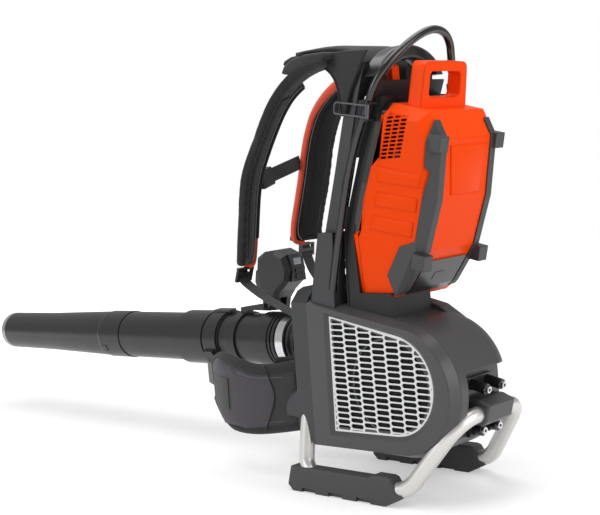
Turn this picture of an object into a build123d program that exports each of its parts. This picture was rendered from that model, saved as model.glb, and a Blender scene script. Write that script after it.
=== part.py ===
from build123d import *
import os
from math import asin, atan2, cos, degrees, hypot, pi, radians, sin, sqrt, tan

# Battery backpack leaf blower: fan unit on a tube frame, battery pack, harness, blow pipe and control grip.
#
# Datum while modelling: x = 0 at the front of the feet, y = 0 in the middle of the frame, z = 0 on the floor.
# The user looks along -X, so the harness is at the front (-X), the battery at the back (+X), the pipe at +Y.
# All lengths are millimetres and all angles degrees.

# ---------------------------------------------------------------- frame and feet
TUBE_R = 13.0                # outer radius of the bent frame tube
TUBE_WALL = 2.0
TRACK = 110.0                # half distance between the two legs of the tube
TUBE_Z = 24.0                # height of the tube's centre along the feet
UPRIGHT_X = 29.6             # where the front upright leaves the foot
UPRIGHT_TOP = (29.6, 86.0, 152.0)
HEEL_X = 248.0               # where the tube leaves the foot and starts to rise
CROSS_X = 337.0              # the rear crossing of the tube
CROSS_Z = 138.0
REAR_TRACK = 79.4            # half distance between the legs at the rear crossing
TUBE_BEND = 50.0
FRONT_BEND = 34.0
FOOT_FRONT = -1.5
FOOT_REAR = 243.0
FOOT_WIDTH = 31.0
FOOT_HEIGHT = 41.0
FOOT_CHAMFER = 13.0
FOOT_NOTCHES = 3
FOOT_NOTCH = (30.0, 5.0, 7.0)      # length, depth and height of a tread notch
FOOT_NOTCH_FIRST = 49.0      # middle of the first notch behind the nose, and the step to the next
FOOT_NOTCH_STEP = 60.0
FOOT_HUMP = 5.0              # rise of the rear end round the tube

# ---------------------------------------------------------------- fan unit
LEAN = 1.3                   # the fan unit leans back on the frame
SEAM_X = 50.1                # seam between back plate and housing, at the floor
SEAM_LOW = 77.6              # bottom and top of the housing at the seam
SEAM_HIGH = 314.8
ARC_X = 239.0                # centre of the round rear of the housing
ARC_Z = 179.3
ARC_R = 99.5                 # its radius on the near face
SHOULDER = 8.0               # how much the body is larger than the near face
NEAR_Y = -104.0              # near face, cover joint and far face of the housing
COVER_Y = -84.0
FAR_Y = 62.0
FAR_ROUND = 42.0
WALL = 3.0
RIDGE_Y = 20.0               # near side of the raised ridge on top
RIDGE_END = 262.0
RECESS_X = 312.0             # recess in the round rear for the frame's anchor
RECESS_Y = -66.0
RECESS_Z = (98.0, 208.0)
TUBE_GAP = 1.0               # clearance of the housing round the frame tube
GRILLE_TOP = (103.5, 291.3)
GRILLE_LOW = (96.9, 105.9)
GRILLE_ARC = (223.7, 187.4, 78.5)  # centre x, centre z, radius
GRILLE_SINK = 6.0
GRILLE_SHEET = 1.6
GRILLE_RIM = 5.0
SLOT_LENGTH = 25.0
SLOT_HEIGHT = 4.8
SLOT_PITCH_X = 28.6
SLOT_PITCH_Z = 7.0

# ---------------------------------------------------------------- rear mount
ARM_Y = 20.0
ARM_R = 8.5
UPPER_ARM = 36.0
LOWER_ARM = 22.0
BLOCK_HALF = 35.0
ARM_TILT = 12.0

# ---------------------------------------------------------------- fan and motor
FAN_X = 218.8
FAN_Z = 183.5
DUCT_R = 86.0
DUCT_WALL = 3.0
TIP_GAP = 1.5
HUB_R = 38.0
BLADES = 9
BLADE_PITCH = 38.0
BLADE_THICK = 2.6
FAN_NEAR = -58.0             # near end of the impeller hub
FAN_DEEP = 34.0
CAN_R = 40.0
CAN_NEAR = -16.0
STATOR_R = 36.0
AIR_GAP = 0.8
ROTOR_R = 23.0
SHAFT_R = 5.0
SHAFT_FIT = 0.04
BEARING_R = 13.0
BEARING_W = 8.0
VANES = 7

# ---------------------------------------------------------------- back plate
PLATE_DEPTH = 34.0
PLATE_HALF = 104.0
PLATE_TOP = 339.0
PLATE_BEVEL = 24.0
PLATE_WALL = 4.0
PAD_DEPTH = 20.0
PAD_HALF = 62.0

# ---------------------------------------------------------------- air duct and blow pipe
PIPE_Y = 140.0
PIPE_Z = 205.0               # height of the pipe's centre at the elbow's mouth
MOUTH_X = -6.6
DROOP = 0.9
ELBOW_X = 172.0
ELBOW_BEND = 54.0
DUCT_OUT_R = 52.5
SPIGOT_R = 48.8
PIPE_WALL = 3.0
CUFF = 26.0                  # length of the hose cuffs and spigots
HOSE_R = 53.0
HOSE_LENGTH = 192.5          # between the two cuffs
HOSE_FOLDS = 12
HOSE_FOLD_DEPTH = 5.5
COLLAR_LENGTH = 57.0
COLLAR_R = 55.0
REAR_PIPE_R = 51.0
SLIDE_FIT = 0.3
CLAMP_AT = 386.0             # distances along the pipe from the elbow's mouth
CLAMP_LENGTH = 38.0
SOCKET_END = 515.0
SOCKET_R = 56.0
REAR_PIPE_END = 500.0
MIDDLE_R = 50.4
MIDDLE_END = 766.0
NOZZLE_AT = 714.0
NOZZLE_MID = 1030.6
NOZZLE_END = 1203.0
NOZZLE_R = 52.0
NOZZLE_MID_R = 44.4
NOZZLE_TIP_R = 43.2
NOZZLE_STEP = 72.0           # length of the nozzle's straight socket
NOZZLE_BORE_R = 40.0
TIP_RING = 13.5

# ---------------------------------------------------------------- control grip
GRIP_X = -261.9              # pivot of the grip, and its height over the pipe's centre
GRIP_RISE = 70.7
GRIP_HALF = 29.0
TRIGGER_SWING = 15           # full swing of the trigger in degrees
GRIP_SIZE = 1.07             # size of the grip's outlines against the points they are drawn with
BRACKET_AT = 331.6
BRACKET_LENGTH = 20.0
PIVOT_R = 6.0
BUTTON_GAP = 0.3
BUTTON_TRAVEL = 2.0

# ---------------------------------------------------------------- harness posts
POST_Y = 75.0
POST_W = 18.0
POST_DEPTH = 24.0
POST_LINE = [(64.9, 304.6), (95.9, 428.3), (126.9, 520.9), (165.8, 642.2), (182.7, 688.9)]
SLEEVE_TOP = 429.0
SLEEVE_GROW = 4.0
HANDLE_RISE = 716.0
HANDLE_FOOT = 668.0
HANDLE_DEPTH = 34.0
HANDLE_THICK = 22.0
HANDLE_HALF = 82.0
CLIP_X = 222.3               # hinge of the cable clip, and its height
CLIP_Z = 613.7
CLIP_TILT = 10.4
CLIP_REACH = 68.0
CLIP_HEIGHT = 18.0
WIRE_R = 1.5

# ---------------------------------------------------------------- battery
PACK_HALF = 86.0
PACK_OUTLINE = [(147.6, 318.3), (150.9, 423.6), (236.0, 627.0), (316.0, 605.0), (334.0, 562.0),
                (315.4, 470.0), (285.0, 393.1), (239.0, 334.5), (212.0, 317.0)]
PACK_TAPER = 14.0            # how much narrower each side is at the bottom
TAPER_FROM = 505.0
PACK_CORNER = 18.0
PACK_WALL = 3.5
FRONT_SHELL = 12.0
GUARD_THICK = 2.4
GUARD_EDGE = 56.0
GUARD_SIDE = [(326.4, 602.4), (311.1, 522.3), (316.1, 514.1), (278.0, 410.4), (247.0, 403.5),
              (215.0, 358.4), (226.0, 325.9)]
PAD_RISE = 6.0
CELL_R = 9.0
CELL_LENGTH = 65.0
CELL_COLUMNS = 5
CELL_ROWS = 8
CELL_PITCH = 19.4
PACK_LEAN = 18.0
TRAY_HALF = 82.0
PACK_GAP = 0.4               # clearance of the tray round the battery
GRAB_BASE = 58.0
GRAB_TOP = 53.0
GRAB_HEIGHT = 87.0
GRAB_THICK = 25.0
GRAB_FOOT = (262.0, 600.0)   # x and z of the middle of the handle's foot
GRAB_WINDOW = (78.0, 40.0)
GRAB_SILL = 32.0
STATUS_X = 250.5             # push button under the status lights
STATUS_Z = 352.4
STATUS_TILT = 37.0
VENT_ROWS = 13
VENT_COLUMNS = 3
VENT_SLOT = (11.0, 3.4)
VENT_PITCH = (14.0, 6.6)

# ---------------------------------------------------------------- cable
CABLE_R = 6.5
CABLE_ROUTE = [(262, 67, 640), (262, 67, 690), (266, 62, 716), (272, 38, 733), (271, 4, 735), (266, -40, 716),
               (256, -76, 690), (238, -94, 662), (214, -95, 618), (190, -94, 580), (166, -94, 526),
               (148, -94, 470), (133, -94, 418), (120, -94, 368), (112, -94, 336)]

# ---------------------------------------------------------------- harness fabric
SOFT_GAP = 0.5               # clearance between soft pieces and their neighbours
STRAP_W = 56.0
STRAP_THICK = 18.0
STRAP_Y = 86.0
STRAP_ROLL = 28.0            # how far forward the inner edge of a strap stands
LEFT_STRAP = [(140, 698), (96, 694), (34, 664), (3, 634), (-22, 600), (-47, 562), (-65, 530), (-75, 499),
              (-82, 465),
              (-90, 422), (-98, 373)]
RIGHT_STRAP = [(140, 698), (96, 694), (50, 686), (4, 664), (-30, 634), (-46, 607), (-61, 572), (-76, 518),
               (-94, 465),
               (-105, 434), (-112, 398)]
YOKE_THICK = 9.0
YOKE_LINE = [(168, 653), (172, 677), (174, 698), (160, 714), (124, 719), (86, 716)]
YOKE_HALF = 72.0
WEB_W = 25.0
WEB_THICK = 2.4
LEFT_WEB = [(-108, 347), (-84, 335), (-49, 316), (21.9, 289)]
RIGHT_WEB = [(-116, 372), (-94, 330), (-50, 305), (22.0, 290)]
CHEST_Z = 532.0
CHEST_TILT = 14.0
BELT_THICK = 12.0
LEFT_BELT = [(9, -84), (-60, -86), (-130, -84), (-196, -72), (-246, -46)]
LEFT_BELT_SIDE = [(9, 206), (-25, 198), (-92, 190), (-214, 212), (-250, 190), (-251, 124), (-206, 81),
                  (-132, 75),
                  (-29, 92), (9, 101)]
RIGHT_BELT = [(9, 74), (-40, 70), (-90, 60), (-132, 40), (-160, 14)]
RIGHT_BELT_SIDE = [(9, 194), (-13, 190), (-81, 183), (-156, 182), (-164, 138), (-134, 98), (-60, 95),
                   (9, 105)]


# ================================================================ helpers
def outline_xz(points, y):
    return make_face(Polyline([(x, y, z) for x, z in points], close=True))


def slab(points, y_low, y_high):
    """Solid with the side outline (x, z), from y_low to y_high."""
    return extrude(outline_xz(points, y_low), amount=y_high - y_low, dir=(0, 1, 0))


def plate_yz(points, x_low, x_high):
    """Solid with the front outline (y, z), from x_low to x_high."""
    face = make_face(Polyline([(x_low, y, z) for y, z in points], close=True))
    return extrude(face, amount=x_high - x_low, dir=(1, 0, 0))


def block(x, y, z):
    """Box between two corners given as three (low, high) pairs."""
    size = [high - low for low, high in (x, y, z)]
    return Pos(*[(low + high) / 2 for low, high in (x, y, z)]) * Box(*size)


def band(points, thickness):
    """Left and right edge of a band of the given thickness along a line of 2-D points."""
    left, right = [], []
    for i, (u, v) in enumerate(points):
        before = points[max(i - 1, 0)]
        after = points[min(i + 1, len(points) - 1)]
        run = hypot(after[0] - before[0], after[1] - before[1])
        nu, nv = -(after[1] - before[1]) / run, (after[0] - before[0]) / run
        left.append((u + nu * thickness / 2, v + nv * thickness / 2))
        right.append((u - nu * thickness / 2, v - nv * thickness / 2))
    return left, right


def soft_band(points, thickness, place, push):
    """Smooth band along 2-D points: place(u, v) puts a point in space, push is the extrusion vector."""
    left, right = band(points, thickness)
    one = Spline([place(u, v) for u, v in left])
    two = Spline([place(u, v) for u, v in reversed(right)])
    ring = [one, Line(one @ 1, two @ 0), two, Line(two @ 1, one @ 0)]
    return extrude(make_face(ring), amount=push.length, dir=push)


def side_band(points, thickness, y_low, y_high):
    return soft_band(points, thickness, lambda u, v: (u, y_low, v), Vector(0, y_high - y_low, 0))


def plan_band(points, thickness, z_low, z_high):
    return soft_band(points, thickness, lambda u, v: (u, v, z_low), Vector(0, 0, z_high - z_low))


def along_y(x, z, y_low, y_high, outer, inner=0.0):
    """Cylinder or tube along Y."""
    turn = Pos(x, (y_low + y_high) / 2, z) * Rot(90, 0, 0)
    solid = turn * Cylinder(outer, y_high - y_low)
    return solid - turn * Cylinder(inner, y_high - y_low + 2) if inner else solid


def along_x(y, z, x_low, x_high, outer, inner=0.0):
    """Cylinder or tube along X."""
    turn = Pos((x_low + x_high) / 2, y, z) * Rot(0, 90, 0)
    solid = turn * Cylinder(outer, x_high - x_low)
    return solid - turn * Cylinder(inner, x_high - x_low + 2) if inner else solid


def seam(z, offset=0.0):
    """A point on the leaned seam plane, moved rearward by offset."""
    return (SEAM_X + offset + z * tan(radians(LEAN)), z)


def tangent_point(start, centre, radius, side):
    """Where the line from start touches the circle, above it (side 1) or below it (side -1)."""
    dx, dz = centre[0] - start[0], centre[1] - start[1]
    reach = hypot(dx, dz)
    heading = atan2(dz, dx) + side * asin(radius / reach)
    length = sqrt(reach ** 2 - radius ** 2)
    return (start[0] + length * cos(heading), start[1] + length * sin(heading))


def d_wire(top, low, centre, radius, y):
    """Closed D outline: straight front, straight top and bottom, round rear."""
    high_end = tangent_point(top, centre, radius, 1)
    low_end = tangent_point(low, centre, radius, -1)
    put = lambda p: (p[0], y, p[1])
    rear = (centre[0] + radius, centre[1])
    edges = [Line(put(low), put(top)), Line(put(top), put(high_end)),
             ThreePointArc(put(high_end), put(rear), put(low_end)), Line(put(low_end), put(low))]
    return Wire(edges)


def housing_wire(grow, y, inset=0.0):
    """Housing outline at y, larger than the near face by grow, with its front set back by inset."""
    top = seam(SEAM_HIGH + grow, inset)
    low = seam(SEAM_LOW - grow / 2, inset)
    return d_wire(top, low, (ARC_X, ARC_Z), ARC_R + grow, y)


def grille_wire(grow, y):
    cx, cz, radius = GRILLE_ARC
    top = (GRILLE_TOP[0] - grow, GRILLE_TOP[1] + grow)
    low = (GRILLE_LOW[0] - grow, GRILLE_LOW[1] - grow)
    return d_wire(top, low, (cx, cz), radius + grow, y)


def grille_holds(x, z, margin):
    """True where a slot centred at (x, z) stays inside the grille's rim."""
    cx, cz, radius = GRILLE_ARC
    room_x = SLOT_LENGTH / 2 + margin
    high_end = tangent_point(GRILLE_TOP, (cx, cz), radius, 1)
    slope = (high_end[1] - GRILLE_TOP[1]) / (high_end[0] - GRILLE_TOP[0])
    under_top = z + margin < GRILLE_TOP[1] + slope * (x + SLOT_LENGTH / 2 - GRILLE_TOP[0])
    over_low = z - margin > GRILLE_LOW[1]
    behind_front = x - room_x > GRILLE_TOP[0]
    in_round = x < cx or hypot(x + room_x - cx, z - cz) < radius
    return under_top and over_low and behind_front and in_round


AXIS = Vector(-cos(radians(DROOP)), 0, -sin(radians(DROOP)))
MOUTH = Vector(MOUTH_X, PIPE_Y, PIPE_Z)


def on_pipe(distance):
    """Plane across the pipe, at a distance from the elbow's mouth; its z axis points to the nozzle."""
    return Plane(origin=MOUTH + AXIS * distance, x_dir=(0, 1, 0), z_dir=AXIS)


def pipe_ring(start, end, outer, inner):
    middle = on_pipe((start + end) / 2).location
    return middle * Cylinder(outer, end - start) - middle * Cylinder(inner, end - start + 2)


def turned(points):
    """Body of revolution about the pipe's axis from (distance, radius) points."""
    start = on_pipe(0)
    ring = [start.origin + start.z_dir * d + start.x_dir * r for d, r in points]
    return revolve(make_face(Polyline(ring, close=True)), axis=Axis(start.origin, start.z_dir))


def mirrored(part):
    return mirror(part, about=Plane.XZ)


# ================================================================ frame
def tube_path():
    left = [UPRIGHT_TOP, (UPRIGHT_X, TRACK, TUBE_Z), (HEEL_X, TRACK, TUBE_Z),
            (CROSS_X, REAR_TRACK, CROSS_Z)]
    right = [(x, -y, z) for x, y, z in reversed(left)]
    bends = [FRONT_BEND, TUBE_BEND, TUBE_BEND, TUBE_BEND, TUBE_BEND, FRONT_BEND]
    return FilletPolyline(*left, *right, radius=bends)


def swept_tube(path, outer, inner=0.0):
    across = Plane(origin=path @ 0, z_dir=path % 0)
    ring = Circle(outer) - Circle(inner) if inner else Circle(outer)
    return sweep(across * ring, path=path)


def tube_room(grow):
    """The frame tube with a clearance, to be cut from what stands close to it."""
    return swept_tube(tube_path(), TUBE_R + grow)


def foot(tube_core):
    """Rubber foot round the tube: raised nose, humped rear end, tread notches on both sides."""
    half = FOOT_WIDTH / 2
    low, high = TRACK - half, TRACK + half
    nose, top = FOOT_CHAMFER, FOOT_HEIGHT
    side = [(FOOT_FRONT + nose, 0), (FOOT_REAR - 30, 0), (FOOT_REAR, 15),
            (FOOT_REAR - 19, top + FOOT_HUMP - 2),
            (FOOT_REAR - 26, top + FOOT_HUMP), (FOOT_REAR - 56, top + FOOT_HUMP), (FOOT_REAR - 66, top),
            (FOOT_FRONT + nose * 0.7, top), (FOOT_FRONT, nose)]
    body = slab(side, low, high)
    rims = [e for e in body.edges() if abs(abs(e.center().Y - TRACK) - half) < 0.1 and e.center().Z > 20]
    body = chamfer(rims, 4.0)
    length, depth, height = FOOT_NOTCH
    for i in range(FOOT_NOTCHES):
        centre = FOOT_FRONT + FOOT_NOTCH_FIRST + FOOT_NOTCH_STEP * i
        for wall_y in (low, high):
            body -= block((centre - length / 2, centre + length / 2), (wall_y - depth, wall_y + depth),
                          (-1, height))
    return body - tube_core


# ================================================================ fan unit
def housing_solid():
    """Outside of the main housing: D body with a rounded far rim and a raised ridge."""
    body = extrude(make_face(housing_wire(SHOULDER, COVER_Y)), amount=FAR_Y - COVER_Y, dir=(0, 1, 0))
    rim = [e for e in body.edges() if e.center().Y > FAR_Y - 1 and e.center().X > SEAM_X + 20]
    body = fillet(rim, FAR_ROUND)
    top = SEAM_HIGH + SHOULDER
    ridge = [(142, 240), (142, top - 12), (186, top - 14), (232, top - 25), (RIDGE_END, top - 44),
             (RIDGE_END, 240)]
    lump = slab(ridge, RIDGE_Y, FAR_Y - 4)
    far_edges = [e for e in lump.edges() if e.center().Y > FAR_Y - 6 and e.center().Z > 262]
    return body + fillet(far_edges, 14.0)


def housing_core():
    """Inside of the main housing, one wall smaller all round."""
    core = extrude(make_face(housing_wire(SHOULDER - WALL, COVER_Y - 1, WALL)),
                   amount=FAR_Y - WALL - COVER_Y + 1,
                   dir=(0, 1, 0))
    rim = [e for e in core.edges() if e.center().Y > FAR_Y - WALL - 1 and e.center().X > SEAM_X + 24]
    return fillet(rim, FAR_ROUND - WALL)


def rear_recess(wall=0.0):
    """Room in the housing for the anchor and the bend of the tube; wall moves it into the shell."""
    low, high = RECESS_Z
    pocket = block((RECESS_X - wall, 400), (RECESS_Y - wall, FAR_Y + 20), (low - 40, high + wall))
    return pocket + [tube_room(TUBE_GAP + wall)]


def make_housing(solid, duct_hole):
    core = housing_core() - rear_recess(WALL)
    return solid - rear_recess() - core - duct_hole


def cover_solid():
    return Solid.make_loft([housing_wire(SHOULDER, COVER_Y), housing_wire(0, NEAR_Y)], True)


def make_inlet_cover():
    """Near cover: tapered shoulder, flat face, sunk D window with a sloped edge."""
    inside = Solid.make_loft([housing_wire(SHOULDER - WALL, COVER_Y - 0.01, WALL),
                              housing_wire(-WALL, NEAR_Y + WALL + GRILLE_SINK, WALL)], True)
    sink = Solid.make_loft([grille_wire(9.0, NEAR_Y - 0.01), grille_wire(2.0, NEAR_Y + GRILLE_SINK)], True)
    window = extrude(make_face(grille_wire(-GRILLE_RIM, NEAR_Y)), amount=COVER_Y - NEAR_Y, dir=(0, 1, 0))
    return cover_solid() - tube_room(TUBE_GAP) - (inside - tube_room(TUBE_GAP + WALL)) - sink - window


def make_inlet_grille():
    """Perforated sheet: rows of long slots, every second column half a row lower."""
    y = NEAR_Y + GRILLE_SINK - GRILLE_SHEET
    slots = []
    columns = int((GRILLE_ARC[0] + GRILLE_ARC[2] - GRILLE_TOP[0]) / SLOT_PITCH_X) + 1
    rows = int((GRILLE_TOP[1] - GRILLE_LOW[1]) / SLOT_PITCH_Z) + 1
    for column in range(columns):
        for row in range(rows):
            x = GRILLE_TOP[0] + SLOT_PITCH_X * (column + 0.5) + 2
            z = GRILLE_LOW[1] + SLOT_PITCH_Z * (row + 0.5 + 0.5 * (column % 2))
            if grille_holds(x, z, 2.0):
                half_l, half_h = SLOT_LENGTH / 2, SLOT_HEIGHT / 2
                corners = [(x - half_l, z), (x - half_l + half_h, z + half_h),
                           (x + half_l - half_h, z + half_h),
                           (x + half_l, z), (x + half_l - half_h, z - half_h),
                           (x - half_l + half_h, z - half_h)]
                slots.append(Wire(Polyline([(u, y, v) for u, v in corners], close=True).edges()))
    return extrude(Face(grille_wire(1.5, y), slots), amount=GRILLE_SHEET, dir=(0, 1, 0))


def make_backplate():
    front, rear = seam(0, -PLATE_DEPTH)[0], seam(0)[0]
    lean = lambda x, z: (x + z * tan(radians(LEAN)), z)
    side = [lean(front, 104), lean(front, PLATE_TOP - 6), lean(front + 8, PLATE_TOP), lean(rear, PLATE_TOP),
            lean(rear, SEAM_LOW)]
    half, bevel = PLATE_HALF, PLATE_BEVEL
    front_view = [(-half, 0), (half, 0), (half, PLATE_TOP - bevel), (half - bevel, PLATE_TOP + 1),
                  (bevel - half, PLATE_TOP + 1), (-half, PLATE_TOP - bevel)]
    body = slab(side, -half, half) & plate_yz(front_view, 0, 100)
    depth = PLATE_DEPTH - PLATE_WALL
    pockets = []
    for low_z, high_z in ((112, 172), (178, 250), (256, PLATE_TOP - 12)):
        for low_y, high_y in ((-66, -36), (-32, 32), (36, 66)):
            pocket = [lean(rear - depth, low_z), lean(rear - depth, high_z), lean(rear + 1, high_z),
                      lean(rear + 1, low_z)]
            pockets.append(slab(pocket, low_y, high_y))
    return body - pockets


def slab_over_plate():
    """Everything in and under the back plate, to cut what stands on it."""
    rear, top = seam(0)[0], PLATE_TOP + 1
    lean = top * tan(radians(LEAN))
    return slab([(rear - PLATE_DEPTH, 60), (rear, 60), (rear + lean, top), (rear + lean - PLATE_DEPTH, top)],
                -150, 150)


def belt_anchor():
    """Faceted lug on the lower corner of the back plate that holds the hip belt."""
    front = seam(150, -PLATE_DEPTH)[0]
    outline = [(front + 4, 172), (front - 20, 158), (front - 32, 142), (front - 34, 121), (front - 6, 119),
               (front + 4, 119)]
    lug = slab(outline, PLATE_HALF - 13, PLATE_HALF - 1)
    return chamfer(lug.faces().sort_by(Axis.Y)[-1].edges(), 4.0)


def make_back_pad():
    """Padded back rest with vertical channels, leaned with the back plate."""
    front, thick = seam(0, -PLATE_DEPTH)[0] - SOFT_GAP, PAD_DEPTH
    lean = lambda x, z: (x + z * tan(radians(LEAN)), z)
    side = [lean(front, 108), lean(front, 312), lean(front - thick, 300), lean(front - thick, 120)]
    body = slab(side, -PAD_HALF, PAD_HALF)
    for y in (-PAD_HALF / 3, PAD_HALF / 3):
        body -= slab([lean(front - thick - 1, 100), lean(front - thick - 1, 320),
                      lean(front - thick + 8, 320),
                      lean(front - thick + 8, 100)], y - 5, y + 5)
    return body


def make_impeller():
    tip = DUCT_R - DUCT_WALL - TIP_GAP
    mid_y = FAN_NEAR + FAN_DEEP / 2
    hub = along_y(FAN_X, FAN_Z, FAN_NEAR, FAN_NEAR + FAN_DEEP, HUB_R)
    hub = fillet(hub.faces().sort_by(Axis.Y)[0].edges(), 12.0)
    hub -= along_y(FAN_X, FAN_Z, FAN_NEAR + 8, FAN_NEAR + FAN_DEEP + 1, HUB_R - 4)
    hub += along_y(FAN_X, FAN_Z, FAN_NEAR + 6, FAN_NEAR + FAN_DEEP, SHAFT_R + 6)
    chord = FAN_DEEP * 0.9 / sin(radians(90 - BLADE_PITCH))
    start = HUB_R - 2
    blades = []
    for i in range(BLADES):
        turn = Pos(FAN_X, mid_y, FAN_Z) * Rot(0, 360 / BLADES * i, 0)
        blades.append(turn * Pos((start + tip + 6) / 2, 0, 0) * Rot(BLADE_PITCH, 0, 0)
                      * Box(tip + 6 - start, chord, BLADE_THICK))
    disc = along_y(FAN_X, FAN_Z, FAN_NEAR, FAN_NEAR + FAN_DEEP, tip)
    return (hub + [blade & disc for blade in blades]) - along_y(FAN_X, FAN_Z, FAN_NEAR - 1, FAR_Y, SHAFT_R)


def make_fan_duct():
    """Duct ring, straightening vanes and motor can, in one moulding on the far wall."""
    far = FAR_Y - WALL
    ring = along_y(FAN_X, FAN_Z, FAN_NEAR - 8, far - 34, DUCT_R, DUCT_R - DUCT_WALL)
    can = along_y(FAN_X, FAN_Z, CAN_NEAR, far - 1, CAN_R)
    can -= along_y(FAN_X, FAN_Z, CAN_NEAR + 4, far, STATOR_R)
    can -= along_y(FAN_X, FAN_Z, CAN_NEAR - 1, CAN_NEAR + 5, BEARING_R)
    vanes = []
    for i in range(VANES):
        turn = Pos(FAN_X, 0, FAN_Z) * Rot(0, 360 / VANES * (i + 0.5), 0)
        vanes.append(turn * Pos((CAN_R + DUCT_R) / 2 - 1, (CAN_NEAR + far - 34) / 2, 0)
                     * Box(DUCT_R - CAN_R, far - 34 - CAN_NEAR, 3))
    return ring + can + vanes


def make_motor_cap():
    """Rear cap of the motor can; it closes the stator and holds the far bearing."""
    far = FAR_Y - WALL
    return (along_y(FAN_X, FAN_Z, far - 1 - 14, far - 1, STATOR_R)
            - along_y(FAN_X, FAN_Z, far - 1 - 15, far - 1 - 14 + BEARING_W, BEARING_R))


def make_bearing(near_y):
    return along_y(FAN_X, FAN_Z, near_y, near_y + BEARING_W, BEARING_R, SHAFT_R + SHAFT_FIT)


def make_stator():
    far_end = FAR_Y - WALL - 15
    core = along_y(FAN_X, FAN_Z, CAN_NEAR + 8, far_end - 4, STATOR_R, ROTOR_R + AIR_GAP)
    for i in range(9):
        slot = Pos(FAN_X, (CAN_NEAR + far_end) / 2, FAN_Z) * Rot(0, 40 * i, 0) * Pos(ROTOR_R + 4, 0, 0)
        core -= slot * Box(7, far_end - CAN_NEAR, 5)
    return core


def make_rotor():
    far_end = FAR_Y - WALL - 15
    return along_y(FAN_X, FAN_Z, CAN_NEAR + 9, far_end - 5, ROTOR_R, SHAFT_R)


def make_shaft():
    return along_y(FAN_X, FAN_Z, FAN_NEAR - 6, FAR_Y - WALL - 1 - 14 + BEARING_W - 0.5, SHAFT_R)


def make_fan_nut():
    hexagon = extrude(RegularPolygon(9, 6), amount=4, both=True)
    hexagon = Pos(FAN_X, FAN_NEAR - 4, FAN_Z) * Rot(90, 0, 0) * hexagon
    bored = hexagon - along_y(FAN_X, FAN_Z, FAN_NEAR - 9, FAN_NEAR + 1, SHAFT_R)
    return bored & block((FAN_X - 20, FAN_X + 20), (FAN_NEAR - 7, FAN_NEAR), (FAN_Z - 20, FAN_Z + 20))


def make_bell_mouth():
    """Bell-shaped inlet, moulded with the cover, between the grille and the fan duct."""
    near, far = NEAR_Y + GRILLE_SINK + 1, FAN_NEAR - 8.3
    cone = Pos(FAN_X, (near + far) / 2, FAN_Z) * Rot(90, 0, 0)
    outside = cone * Cone(DUCT_R, DUCT_R - 8, far - near)
    inside = cone * Cone(DUCT_R - 3, DUCT_R - 11, far - near + 0.02)
    flange = along_y(FAN_X, FAN_Z, far - 3, far, DUCT_R, DUCT_R - 10)
    return (outside - inside) + flange - along_y(FAN_X, FAN_Z, far - 4, far + 1, DUCT_R - 10.5)


def make_controller():
    """Finned motor controller on the front wall of the housing."""
    face = seam(185, WALL)[0] + 2.5
    body = block((face, face + 18), (-58, 34), (120, 250))
    fins = [block((face + 17, face + 28), (-58 + 8 * i, -55 + 8 * i), (124, 246)) for i in range(12)]
    bosses = [along_x(y, z, seam(z, WALL)[0] - 1, face + 1, 5) for y in (-48, 24) for z in (132, 238)]
    front = slab([seam(60, WALL), seam(330, WALL), seam(330, 60), seam(60, 60)], -70, 50)
    return (body + fins + bosses) & front


# ================================================================ rear tube mount
def mount_arm(y, z, tilt, radius, start, end):
    """Round arm that leaves the recess at height z and slopes down to the rear by tilt."""
    along = Pos(RECESS_X, y, z) * Rot(0, 90 + tilt, 0)
    return along * Pos(0, 0, (start + end) / 2) * Cylinder(radius, end - start)


def mount_arms(radius, start, past):
    """Two upper and two lower arms, each from start to past its own end."""
    upper = [mount_arm(y, CROSS_Z + 45, ARM_TILT, radius, start, UPPER_ARM + past) for y in (-ARM_Y, ARM_Y)]
    lower = [mount_arm(y, CROSS_Z - 28.5, 0, radius, start, LOWER_ARM + past) for y in (-ARM_Y, ARM_Y)]
    return upper + lower


def make_mount_yoke():
    """Bracket in the rear recess with four arms that reach over and under the anchor block."""
    front = RECESS_X + 0.05
    base = block((front, front + 8), (-ARM_Y - 15, ARM_Y + 15), (CROSS_Z - 38, CROSS_Z + 54))
    core = block((RECESS_X + 8, CROSS_X + 80), (-60, 60), (CROSS_Z - 19, CROSS_Z + 24))
    behind = block((front, CROSS_X + 80), (-90, 90), (0, 300))
    return ((base + mount_arms(ARM_R, -10, 0)) & behind) - core - tube_room(TUBE_GAP)


def make_anchor_block(tube_core):
    """Ribbed block clamped round the rear crossing of the tube."""
    x, z = CROSS_X, CROSS_Z
    outline = [(x - 16.9, z - 17), (x + 7, z - 18), (x + 15, z - 12), (x + 23, z + 14), (x + 2, z + 22.5),
               (x - 16.9, z + 22.5)]
    body = chamfer(slab(outline, -BLOCK_HALF, BLOCK_HALF).edges().filter_by(Axis.Y, reverse=True), 2.5)
    for i in range(3):
        low = z - 10 + i * 8
        out = x + 18 + (low - z) * 0.31
        body += block((x, out), (4 - BLOCK_HALF, BLOCK_HALF - 4), (low, low + 3.5))
    return body - tube_core


def make_mount_screws():
    heads = mount_arms(5.5, 12, 5)
    rooms = mount_arms(5.6, -10, 0)
    sockets = mount_arms(2.6, 19, 6)
    return Compound([head - room - socket for head, room, socket in zip(heads, rooms, sockets)])


# ================================================================ duct, hose and pipe
def elbow_path():
    start = (ELBOW_X, FAR_Y, PIPE_Z + tan(radians(DROOP)) * (ELBOW_X - MOUTH_X))
    corner = (ELBOW_X, PIPE_Y, start[2])
    return FilletPolyline(start, corner, tuple(MOUTH), radius=ELBOW_BEND)


def make_elbow():
    """Moulded duct from the far wall of the housing, turning forward into the hose spigot."""
    path = elbow_path()
    body = swept_tube(path, DUCT_OUT_R, DUCT_OUT_R - PIPE_WALL - 1)
    flange = along_y(ELBOW_X, (path @ 0).Z, FAR_Y, FAR_Y + 5, DUCT_OUT_R + 7, DUCT_OUT_R - 2)
    step = pipe_ring(-CUFF, 2, DUCT_OUT_R + 2, SPIGOT_R)
    return body + flange - step


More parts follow.
